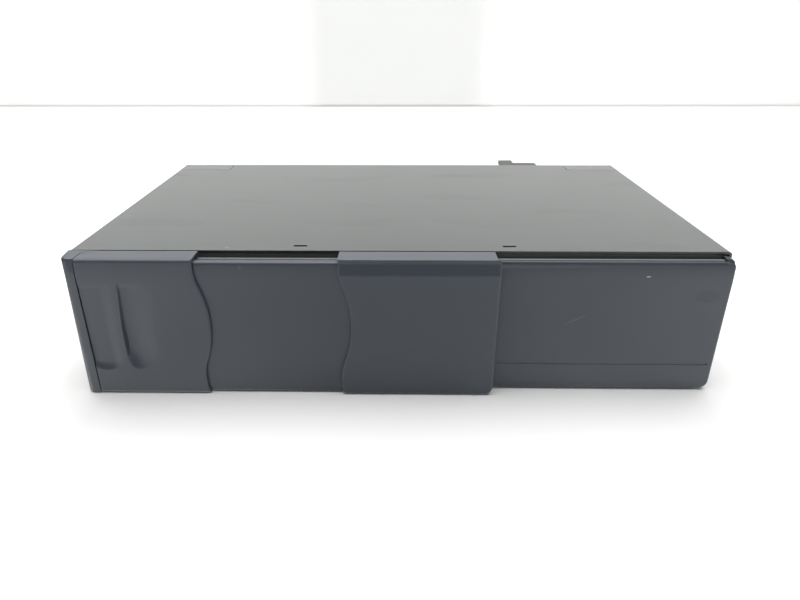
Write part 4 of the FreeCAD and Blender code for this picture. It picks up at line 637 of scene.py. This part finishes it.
@dataclass
class Scoop:
    """A finger scoop: a ramp at its foot, steep or soft sides, fading out upwards, in millimetres."""

    left: float
    right: float
    foot_x: float
    foot_z: float
    rise_left: float
    rise_right: float
    left_blend: float
    right_blend: float
    ramp: float = 8.0
    head_z: float = 49.0
    head_blend: float = 2.2
    head_share: float = 0.4
    deep: float = 1.3

    def depth(self, x: float, z: float) -> float:
        """How deep the scoop is at a point of the front."""
        if not self.left < x < self.right:
            return 0.0
        aside = x - self.foot_x
        edge = self.foot_z + aside * aside * (self.rise_left if aside < 0 else self.rise_right)
        if not edge < z < self.head_z:
            return 0.0
        ramp = math.sin(min((z - edge) / self.ramp, 1.0) * math.pi / 2)
        under_head = self.head_z - z
        fade = self.head_share + (1 - self.head_share) * min(
            under_head / (self.head_z - self.foot_z - self.ramp), 1.0)
        fade *= min(under_head / self.head_blend, 1.0)
        near = min((x - self.left) / self.left_blend, 1.0)
        far = min((self.right - x) / self.right_blend, 1.0)
        return self.deep * ramp * fade * near * far * far * (3 - 2 * far)


@dataclass
class Doors:
    """The two sliding doors: the grip panel, the plate behind, and the middle panel."""

    maker: Maker
    grip_left: float = -122.2
    grip_right: float = -77.6
    panel_left: float = -22.7
    panel_right: float = 39.0
    face: float = -11.3
    low: float = 0.5
    top: float = 58.4
    lip: float = 1.3
    edge_back: float = -0.6
    grip_back: float = -7.9
    panel_back: float = -10.0
    valley_face: float = -9.7
    valley_back: float = -8.2
    valley_top: float = 57.0
    valley_right: float = -17.2
    scoops_end: float = -94.0
    crease: float = -108.4
    crease_step: float = 0.7
    crease_turn: float = 0.065
    panel_foot_corner: float = 3.2
    panel_head_corner: float = 1.6
    shoe_length: float = 10.0
    shoe_front: float = -3.5
    shoe_low: float = 54.2
    shoe_top: float = 57.2

    def build(self) -> None:
        """Build every piece of both doors."""
        self.grip_panel()
        self.valley_plate()
        self.middle_panel()
        self.shoes("inner_door", "inner_door_shoes", (self.grip_left + 3, self.grip_right - 10))
        self.shoes("outer_door", "outer_door_shoes", (self.panel_left + 1, self.panel_right - 12))

    def skin(self, work: bmesh.types.BMesh, across: list[float], up: list[float],
             place: Callable[[float, float], Vector], back: float) -> None:
        """Add a front skin with its edges and a flat back.

        Args:
            work: the mesh that it goes into.
            across: shares of the way across, from 0 to 1.
            up: heights.
            place: gives the point at a share and a height.
            back: the y of its flat back.
        """
        columns, rows = len(across) - 1, len(up) - 1
        made = bmesh.ops.create_grid(work, x_segments=columns, y_segments=rows, size=1.0)
        for vert in made["verts"]:
            column = round((vert.co.x + 1) / 2 * columns)
            row = round((vert.co.y + 1) / 2 * rows)
            vert.co = place(across[column], up[row])
        rim = [edge for edge in work.edges if edge.is_boundary]
        drawn = bmesh.ops.extrude_edge_only(work, edges=rim)["geom"]
        for vert in drawn:
            if isinstance(vert, bmesh.types.BMVert):
                vert.co.y = self.maker.at(0, back, 0).y
        bmesh.ops.holes_fill(work, edges=[edge for edge in work.edges if edge.is_boundary])

    def grip_panel(self) -> bpy.types.Object:
        """The thick grip with its two finger scoops and the lip over the channel."""
        shape = FaceShape(self.face, self.low, self.top, leaning=0.6, round_top=1.0, round_left=0.25)
        wave = Wave(self.grip_right)
        crease = self.crease
        scoops = (Scoop(left=-122.4, right=-109.5, foot_x=-117.2, foot_z=11.2, rise_left=0.05, rise_right=0.07,
                        left_blend=0.4, right_blend=5.5, ramp=4.0, deep=1.05),
                  Scoop(left=crease, right=-93.5, foot_x=-104.6, foot_z=11.6, rise_left=0.27, rise_right=0.05,
                        left_blend=self.crease_step, right_blend=12.0, ramp=9.0, deep=2.05))
        width = self.grip_right - self.grip_left
        steps = (crease - self.grip_left, crease + self.crease_step - self.grip_left)
        marks = spaced(0, width, shape.round_left, shape.round_right, 110)
        marks = sorted([mark for mark in marks if all(abs(mark - step) > 0.12 for step in steps)] + list(steps))
        across = [mark / width for mark in marks]
        up = spaced(self.low, self.top, shape.round_low, shape.round_top, 130)

        def place(share: float, z: float) -> Vector:
            """The skin's point at a share of the way across and a height."""
            right = wave.x(z)
            x = self.grip_left + width * share
            if x > self.scoops_end:
                x = self.scoops_end + (x - self.scoops_end) * (right - self.scoops_end) / (
                    self.grip_right - self.scoops_end)
            deep = sum(scoop.depth(x, z) for scoop in scoops)
            x += max(z - 30.0, 0.0) * self.crease_turn * max(1.0 - abs(x - crease) / 9.0, 0.0)
            return self.maker.at(x, self.face + deep + shape.depth(z, x - self.grip_left, right - x), z)

        work = bmesh.new()
        self.skin(work, across, up, place, self.grip_back)
        self.lip_plate(work, self.grip_left, self.grip_right, self.grip_back, self.edge_back, 5.0)
        return self.maker.finish_piece("grip_panel", work, "front_plastic", "inner_door", "inner_door")

    def lip_plate(self, work: bmesh.types.BMesh, left: float, right: float, front: float,
                  back: float, corner: float) -> None:
        """Add the flat lip that reaches back over the channel, its back left corner rounded.

        Args:
            work: the mesh that it goes into.
            left: its left edge.
            right: its right edge.
            front: its front edge.
            back: its back edge.
            corner: the radius of its back left corner.
        """
        low = self.maker.at(left, front, self.top - self.lip)
        high = self.maker.at(right, back, self.top)
        verts = self.maker.block(work, low, high)
        if corner:
            edges = [edge for edge in work.edges if all(
                vert in verts and vert.co.x < low.x + MM * 0.1 and vert.co.y > high.y - MM * 0.1
                for vert in edge.verts)]
            bmesh.ops.bevel(work, geom=edges, offset=corner * MM, offset_type="OFFSET", affect="EDGES",
                            segments=8, profile=0.5, material=-1)

    def valley_plate(self) -> bpy.types.Object:
        """The thin plate beside the grip, which slides behind the middle panel."""
        left = self.grip_right - 3
        shape = FaceShape(self.valley_face, self.low, self.valley_top, leaning=0.75, thick=1.5, round_top=0.9,
                          round_left=0.2, round_right=0.2)
        width = self.valley_right - left
        across = [mark / width for mark in spaced(0, width, 0.2, 0.2, 12)]
        up = spaced(self.low, self.valley_top, shape.round_low, shape.round_top, 40)

        def place(share: float, z: float) -> Vector:
            """The plate's point at a share of the way across and a height."""
            x = left + width * share
            return self.maker.at(x, self.valley_face + shape.depth(z, x - left, self.valley_right - x), z)

        work = bmesh.new()
        self.skin(work, across, up, place, self.valley_back)
        self.maker.block(work, self.maker.at(left, self.valley_back, self.valley_top - 1.2),
                         self.maker.at(self.valley_right, -6.2, self.valley_top), 0.2 * MM)
        return self.maker.finish_piece("valley_plate", work, "front_plastic", "inner_door", "inner_door")

    def middle_panel(self) -> bpy.types.Object:
        """The middle door, bare, with the same wave on its left edge."""
        shape = FaceShape(self.face, self.low, self.top, crisp=True, thick=1.3, round_top=0.8, round_left=0.7,
                          round_right=1.0)
        wave = Wave(self.panel_left)
        foot, head = self.panel_foot_corner, self.panel_head_corner
        width = self.panel_right - self.panel_left
        across = [mark / width for mark in spaced(0, width, shape.round_left, shape.round_right, 60)]
        up = spaced(self.low, self.top, shape.round_low, shape.round_top, 110)

        def place(share: float, z: float) -> Vector:
            """The panel's point at a share of the way across and a height."""
            left = wave.x(z)
            right = self.panel_right - round_off(z - self.low, foot) - round_off(self.top - z, head)
            x = left + (right - left) * share
            return self.maker.at(x, self.face + shape.depth(z, x - left, right - x), z)

        work = bmesh.new()
        self.skin(work, across, up, place, self.panel_back)
        self.lip_plate(work, self.panel_left, self.panel_right - head, self.panel_back, self.edge_back, 0.0)
        self.maker.block(work, self.maker.at(self.panel_right - self.lip, self.panel_back, self.low + foot),
                         self.maker.at(self.panel_right, -6.1, self.top - head), 0.25 * MM)
        return self.maker.finish_piece("middle_panel", work, "front_plastic", "outer_door", "outer_door")

    def shoes(self, body: str, name: str, starts: tuple[float, float]) -> bpy.types.Object:
        """The two sliding shoes of a door on the guide rail.

        Args:
            body: the door's body and node.
            name: the piece's name.
            starts: the left end of each shoe.

        Returns:
            The piece.
        """
        work = bmesh.new()
        for start in starts:
            self.maker.block(work, self.maker.at(start, self.shoe_front, self.shoe_low),
                             self.maker.at(start + self.shoe_length, self.edge_back, self.shoe_top), 0.3 * MM)
        return self.maker.finish_piece(name, work, "front_plastic", body, body)


@dataclass
class FrontFrame:
    """The fixed moulded frame round the doors, and the cover's folded edge behind its channel."""

    maker: Maker
    skin_depth: float = 1.0
    faces: tuple[float, float] = (-5.8, -11.3)
    lean_cuts: range = range(49, 58)
    column_side: float = -126.5
    taper: float = 0.016
    taper_reach: float = 8.0
    rim_side: float = -125.0
    rim_height: float = 58.3
    rim_round: float = 1.9
    section_left: float = 37.0
    section_right: float = 125.5
    section_top: float = 56.05
    track: float = 12.3
    track_half: float = 0.4
    fold_low: float = 53.4
    fold_top: float = 57.4

    def build(self) -> None:
        """Build the frame and the fold."""
        work = self.maker.copy_of("front_bezel")
        self.shape_fronts(work)
        self.round_column_top(work)
        left = self.section_left
        self.maker.block(work, self.maker.at(left, -5.62, self.track - self.track_half),
                         self.maker.at(self.section_right, -4.7, self.track + self.track_half))
        self.maker.block(work, self.maker.at(left, -5.05, 53.6),
                         self.maker.at(124.6, -3.7, self.section_top), 0.25 * MM)
        self.maker.finish_piece("front_frame", work, "front_plastic", "case", "front_bezel", sharp=28.0)
        self.cover_fold()

    def shape_fronts(self, work: bmesh.types.BMesh) -> None:
        """Lean the fronts back near their top and taper the left column.

        Args:
            work: the frame's mesh.
        """
        for height in self.lean_cuts:
            everything = [*work.verts, *work.edges, *work.faces]
            bmesh.ops.bisect_plane(work, geom=everything, plane_co=self.maker.at(0, 0, height),
                                   plane_no=(0, 0, 1), dist=0.000001)
        planes = [self.maker.at(0, face, 0).y for face in self.faces]
        for vert in work.verts:
            if any(-0.001 * MM < vert.co.y - plane < self.skin_depth * MM for plane in planes):
                vert.co.y += lean(vert.co.z / MM) * MM
            if vert.co.x < self.column_side * MM:
                ahead = min(max((self.maker.front_line - vert.co.y) / (self.taper_reach * MM), 0.0), 1.0)
                vert.co.x += self.taper * ahead * vert.co.z
        work.normal_update()

    def round_column_top(self, work: bmesh.types.BMesh) -> None:
        """Round the outer edge of the left column's top.

        Args:
            work: the frame's mesh.
        """
        rim = [edge for edge in work.edges if all(
            vert.co.x < self.rim_side * MM and vert.co.z > self.rim_height * MM for vert in edge.verts)
            and any(face.normal.x < -0.02 and abs(face.normal.z) < 0.5 for face in edge.link_faces)]
        log.info("rounding %d edges of the left column's top", len(rim))
        bmesh.ops.bevel(work, geom=rim, offset=self.rim_round * MM, offset_type="OFFSET", affect="EDGES",
                        segments=4, profile=0.5, material=-1, clamp_overlap=True)

    def cover_fold(self) -> bpy.types.Object:
        """The cover's front edge, folded down behind the channel, in a paint lighter than the cover's own: painted
        light in the shaded channel.
        """
        work = bmesh.new()
        self.maker.block(work, self.maker.at(-124.0, 0.1, self.fold_low), self.maker.at(125.0, 0.9, self.fold_top))
        fold = self.maker.finish_piece("cover_fold", work, "cover_paint", "case")
        # The fold takes the lightened channel paint, not the cover's own: painted light in the shaded channel.
        fold.data.materials[0] = self.maker.paints["channel_painted_light"]
        return fold


@dataclass
class TabSlot:
    """One slot of the cover's top: its middle and sides as cut, and as seen, in millimetres."""

    cut_x: float
    seen_x: float
    cut_half: float = 2.2
    seen_half: float = 2.65
    cut_front: float = 5.6
    cut_back: float = 6.6
    seen_front: float = 4.7
    seen_back: float = 6.4

    def holds(self, x: float, y: float) -> bool:
        """Whether a point of the top lies on the slot's rim."""
        return abs(x - self.cut_x) < self.cut_half + 0.1 and self.cut_front - 0.1 < y < self.cut_back + 0.1

    def seen(self, x: float, y: float) -> tuple[float, float]:
        """Where a point of the rim as cut goes.

        Args:
            x: its x.
            y: how far it lies behind the cover's front edge.

        Returns:
            Its new x and y.
        """
        share = (y - self.cut_front) / (self.cut_back - self.cut_front)
        return (self.seen_x + (x - self.cut_x) * self.seen_half / self.cut_half,
                self.seen_front + (self.seen_back - self.seen_front) * share)


@dataclass
class Cover:
    """The folded sheet cover, with the two tab slots opened as far as the real one's."""

    maker: Maker
    slots: tuple[TabSlot, ...] = (TabSlot(-40.0, -38.6), TabSlot(44.1, 43.9))

    def build(self) -> None:
        """Build the cover from its node."""
        work = self.maker.copy_of("top_cover")
        for vert in work.verts:
            x, y = vert.co.x / MM, (vert.co.y - self.maker.front_line) / MM
            for slot in self.slots:
                if vert.co.z > 57 * MM and slot.holds(x, y):
                    seen_x, seen_y = slot.seen(x, y)
                    vert.co.x, vert.co.y = seen_x * MM, seen_y * MM + self.maker.front_line
                    break
        self.maker.finish_piece("cover", work, "cover_paint", "case", "top_cover")


@dataclass
class Mechanism:
    """Everything that keeps its own shape from the model: sheet, plastic and metal parts."""

    maker: Maker
    own_finish: dict[str, str]

    def build(self, skipped: set[str]) -> None:
        """Give each node its finish.

        Args:
            skipped: the nodes that a new piece stands for.
        """
        slots = {part["node"]: part["material_slot"] for part in self.maker.record["subparts"]}
        for name, node in self.maker.nodes.items():
            paint = self.maker.paints[self.own_finish.get(name, slots[name])]
            node.data.materials.clear()
            node.data.materials.append(paint)
            log.info("node %s: %s%s", name, slots[name], " (replaced)" if name in skipped else "")


@dataclass
class Studio:
    """Plain pale studio: a white floor, a pale wall, a soft lamp overhead and a dim room in front."""

    wall_y: float = 0.795
    reach: float = 3.0
    lamp_power: float = 44.0
    fill: float = 0.05
    side_glow: float = 0.18
    floor_colour: Colour = (0.86, 0.86, 0.855)
    wall_colour: Colour = (0.84, 0.85, 0.83)

    def plane(self, name: str, low: Vector, high: Vector, material: bpy.types.Material) -> bpy.types.Object:
        """Add a flat stage piece.

        Args:
            name: its name.
            low: its first corner.
            high: the opposite corner.
            material: its material.

        Returns:
            The stage piece.
        """
        work = bmesh.new()
        made = bmesh.ops.create_grid(work, x_segments=1, y_segments=1, size=0.5)["verts"]
        for vert in made:
            across, along = vert.co.x + 0.5, vert.co.y + 0.5
            up = along if low.z != high.z else 0.0
            back = along if low.z == high.z else 0.0
            vert.co = Vector((low.x + (high.x - low.x) * across, low.y + (high.y - low.y) * back,
                              low.z + (high.z - low.z) * up))
        mesh = bpy.data.meshes.new(name)
        work.to_mesh(mesh)
        work.free()
        mesh.materials.append(material)
        piece = bpy.data.objects.new(name, mesh)
        bpy.context.scene.collection.objects.link(piece)
        return piece

    def paper(self, name: str, colour: Colour, glow: tuple[float, float],
              mirrored: tuple[float, float]) -> bpy.types.Material:
        """A pale matt surface that the camera and mirrors see a little brighter.

        Mirrors see it dark near the object's middle and bright outside, with a strip along its foot.

        Args:
            name: its name.
            colour: its colour.
            glow: the light that the camera sees on top, near the object and far off.
            mirrored: the light that reflections see on top, in the middle and to either side.

        Returns:
            The material.
        """
        material = bpy.data.materials.new(name)
        material.use_nodes = True
        material.node_tree.nodes.clear()
        sheet = Sheet(material.node_tree)
        path = sheet.add("ShaderNodeLightPath").outputs
        place = sheet.add("ShaderNodeTexCoord").outputs["Object"]
        parts = sheet.add("ShaderNodeSeparateXYZ", {0: place}).outputs
        across, along = (sheet.sum("ABSOLUTE", parts[axis]) for axis in "XY")
        outside = sheet.sum("MULTIPLY", sheet.limits(across, 0.04, 0.2), sheet.limits(along, 0.06, 0.12))
        bright = sheet.limits(outside, 0.0, 1.0, *mirrored)
        strip = sheet.sum("MULTIPLY", sheet.limits(along, 0.145, 0.1), sheet.limits(along, 0.08, 0.09))
        strip = sheet.sum("MULTIPLY", strip, sheet.limits(across, 0.02, 0.08, 0.15, 0.9))
        bright = sheet.sum("MAXIMUM", bright, sheet.sum("MULTIPLY", strip, mirrored[1]))
        shiny = sheet.sum("MAXIMUM", path["Is Glossy Ray"], path["Is Transmission Ray"])
        far = sheet.add("ShaderNodeVectorMath", {0: place}, operation="LENGTH").outputs["Value"]
        beside = sheet.limits(across, 0.12, 0.16, glow[0], glow[0] + self.side_glow)
        seen = sheet.sum("MAXIMUM", sheet.limits(far, 0.75, 1.6, *glow), beside)
        light = sheet.sum("MAXIMUM", sheet.sum("MULTIPLY", path["Is Camera Ray"], seen),
                          sheet.sum("MULTIPLY", shiny, bright))
        tone = sheet.limits(sheet.noise(place, 2.0), 0.3, 0.7, 0.985, 1.0)
        toned = sheet.add("ShaderNodeVectorMath", {0: colour, "Scale": tone}, operation="SCALE").outputs[0]
        shader = sheet.add("ShaderNodeBsdfPrincipled", {
            "Base Color": toned, "Roughness": 0.9, "Emission Color": (1.0, 1.0, 0.99, 1.0),
            "Emission Strength": light})
        shader.inputs["Specular IOR Level"].default_value = 0.2
        output = sheet.add("ShaderNodeOutputMaterial")
        sheet.tree.links.new(shader.outputs[0], output.inputs["Surface"])
        return material

    def room(self) -> None:
        """The room's light: white to the camera, bright overhead, behind and aside in mirrors."""
        world = bpy.data.worlds.new("soft_room")
        bpy.context.scene.world = world
        world.use_nodes = True
        world.node_tree.nodes.clear()
        sheet = Sheet(world.node_tree)
        way = sheet.add("ShaderNodeTexCoord").outputs["Generated"]
        parts = sheet.add("ShaderNodeSeparateXYZ", {0: way}).outputs
        overhead = sheet.limits(parts["Z"], 0.15, 0.75, 0.0, 1.0)
        behind = sheet.limits(parts["Y"], -0.2, 0.4, 0.0, 1.0)
        aside = sheet.limits(sheet.sum("ABSOLUTE", parts["X"]), 0.35, 0.85, 0.0, 0.8)
        bright = sheet.sum("MAXIMUM", sheet.sum("MAXIMUM", overhead, behind), aside)
        level = sheet.limits(bright, 0.0, 1.0, 0.03, 0.85)
        path = sheet.add("ShaderNodeLightPath").outputs
        shiny = sheet.sum("MAXIMUM", path["Is Glossy Ray"], path["Is Transmission Ray"])
        strength = sheet.sum("MAXIMUM", path["Is Camera Ray"], sheet.sum("MULTIPLY", shiny, level))
        strength = sheet.sum("MAXIMUM", strength, self.fill)
        light = sheet.add("ShaderNodeBackground", {"Color": (1.0, 1.0, 1.0, 1.0), "Strength": strength})
        output = sheet.add("ShaderNodeOutputWorld")
        sheet.tree.links.new(light.outputs[0], output.inputs["Surface"])

    def lamp(self, name: str, spot: Vector, aim: Vector, size: tuple[float, float], power: float) -> None:
        """Add a soft rectangular lamp.

        Args:
            name: its name.
            spot: where it is.
            aim: the point it faces.
            size: its width and depth.
            power: its power in watts.
        """
        data = bpy.data.lights.new(name, "AREA")
        data.shape = "RECTANGLE"
        data.size, data.size_y = size
        data.energy = power
        lamp = bpy.data.objects.new(name, data)
        lamp.location = spot
        lamp.rotation_mode = "QUATERNION"
        lamp.rotation_quaternion = (aim - spot).to_track_quat("-Z", "Y")
        bpy.context.scene.collection.objects.link(lamp)

    def build(self) -> None:
        """Build the floor, the wall, the lamps and the room."""
        self.room()
        floor = self.paper("studio_floor", self.floor_colour, (0.04, 1.1), (0.0, 0.9))
        wall = self.paper("studio_wall", self.wall_colour, (0.18, 0.3), (0.5, 0.55))
        # A grey strip along the foot of the wall, with no glow: painted shade where the wall meets the floor.
        corner_shade = self.paper("studio_corner_shade", (0.7, 0.71, 0.69), (0.0, 0.0), (0.0, 0.0))
        self.plane("floor", Vector((-self.reach, -self.reach, 0)), Vector((self.reach, self.wall_y, 0)), floor)
        self.plane("wall", Vector((-self.reach, self.wall_y, 0.003)), Vector((self.reach, self.wall_y, 2.4)), wall)
        self.plane("wall_foot_shade", Vector((-self.reach, self.wall_y - 0.0001, 0)),
                   Vector((self.reach, self.wall_y - 0.0001, 0.0035)), corner_shade)
        self.lamp("overhead_softbox", Vector((0, 0.15, 1.5)), Vector((0, 0.05, 0)), (2.2, 1.8), self.lamp_power)
        bpy.context.scene.view_settings.view_transform = "Standard"
        log.info("studio: floor, wall and one soft lamp")


@dataclass
class PhotoCamera:
    """The photograph's camera, fitted to the object's corners: millimetres and degrees of the drawing."""

    maker: Maker
    place: tuple[float, float, float] = (-0.64, -234.7, 141.58)
    pitch: float = 26.289
    yaw: float = -1.001
    roll: float = -0.15
    focal: float = 639.3
    centre: tuple[float, float] = (385.97, 327.03)
    frame: tuple[int, int] = (800, 600)
    sensor: float = 36.0

    def build(self) -> None:
        """Make the camera the scene's own."""
        data = bpy.data.cameras.new("photo_camera")
        data.sensor_width = self.sensor
        data.lens = self.focal * self.sensor / self.frame[0]
        data.shift_x = (self.frame[0] / 2 - self.centre[0]) / self.frame[0]
        data.shift_y = (self.centre[1] - self.frame[1] / 2) / self.frame[0]
        data.clip_start = 0.01
        data.clip_end = 20.0
        pitch, yaw, roll = (math.radians(angle) for angle in (self.pitch, self.yaw, self.roll))
        ahead = Vector((math.sin(yaw) * math.cos(pitch), math.cos(yaw) * math.cos(pitch), -math.sin(pitch)))
        side = Vector((math.cos(yaw), -math.sin(yaw), 0.0))
        above = side.cross(ahead)
        right = side * math.cos(roll) + above * math.sin(roll)
        up = above * math.cos(roll) - side * math.sin(roll)
        camera = bpy.data.objects.new("photo_camera", data)
        camera.matrix_world = Matrix((right, up, -ahead)).transposed().to_4x4()
        camera.location = self.maker.at(*self.place)
        bpy.context.scene.collection.objects.link(camera)
        bpy.context.scene.camera = camera
        log.info("camera at %s", tuple(round(value, 4) for value in camera.location))


def main() -> None:
    """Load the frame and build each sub-assembly."""
    logging.basicConfig(level=logging.INFO, format="%(name)s %(message)s")
    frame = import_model()
    paints = Paintbox(SharedPatterns())
    maker = Maker(frame, paints)
    PhotoCamera(maker).build()
    # The guide rail takes the lightened channel paint instead of its black paint: painted light that lifts the shaded
    # channel.
    own_finish = {"corner_caps": "cap_plastic", "guide_rail": "channel_painted_light"}
    Mechanism(maker, own_finish).build({"inner_door", "outer_door", "front_bezel", "top_cover"})
    Doors(maker).build()
    FrontFrame(maker).build()
    Cover(maker).build()
    Studio().build()
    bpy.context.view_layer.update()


if __name__ == "__main__":
    main()
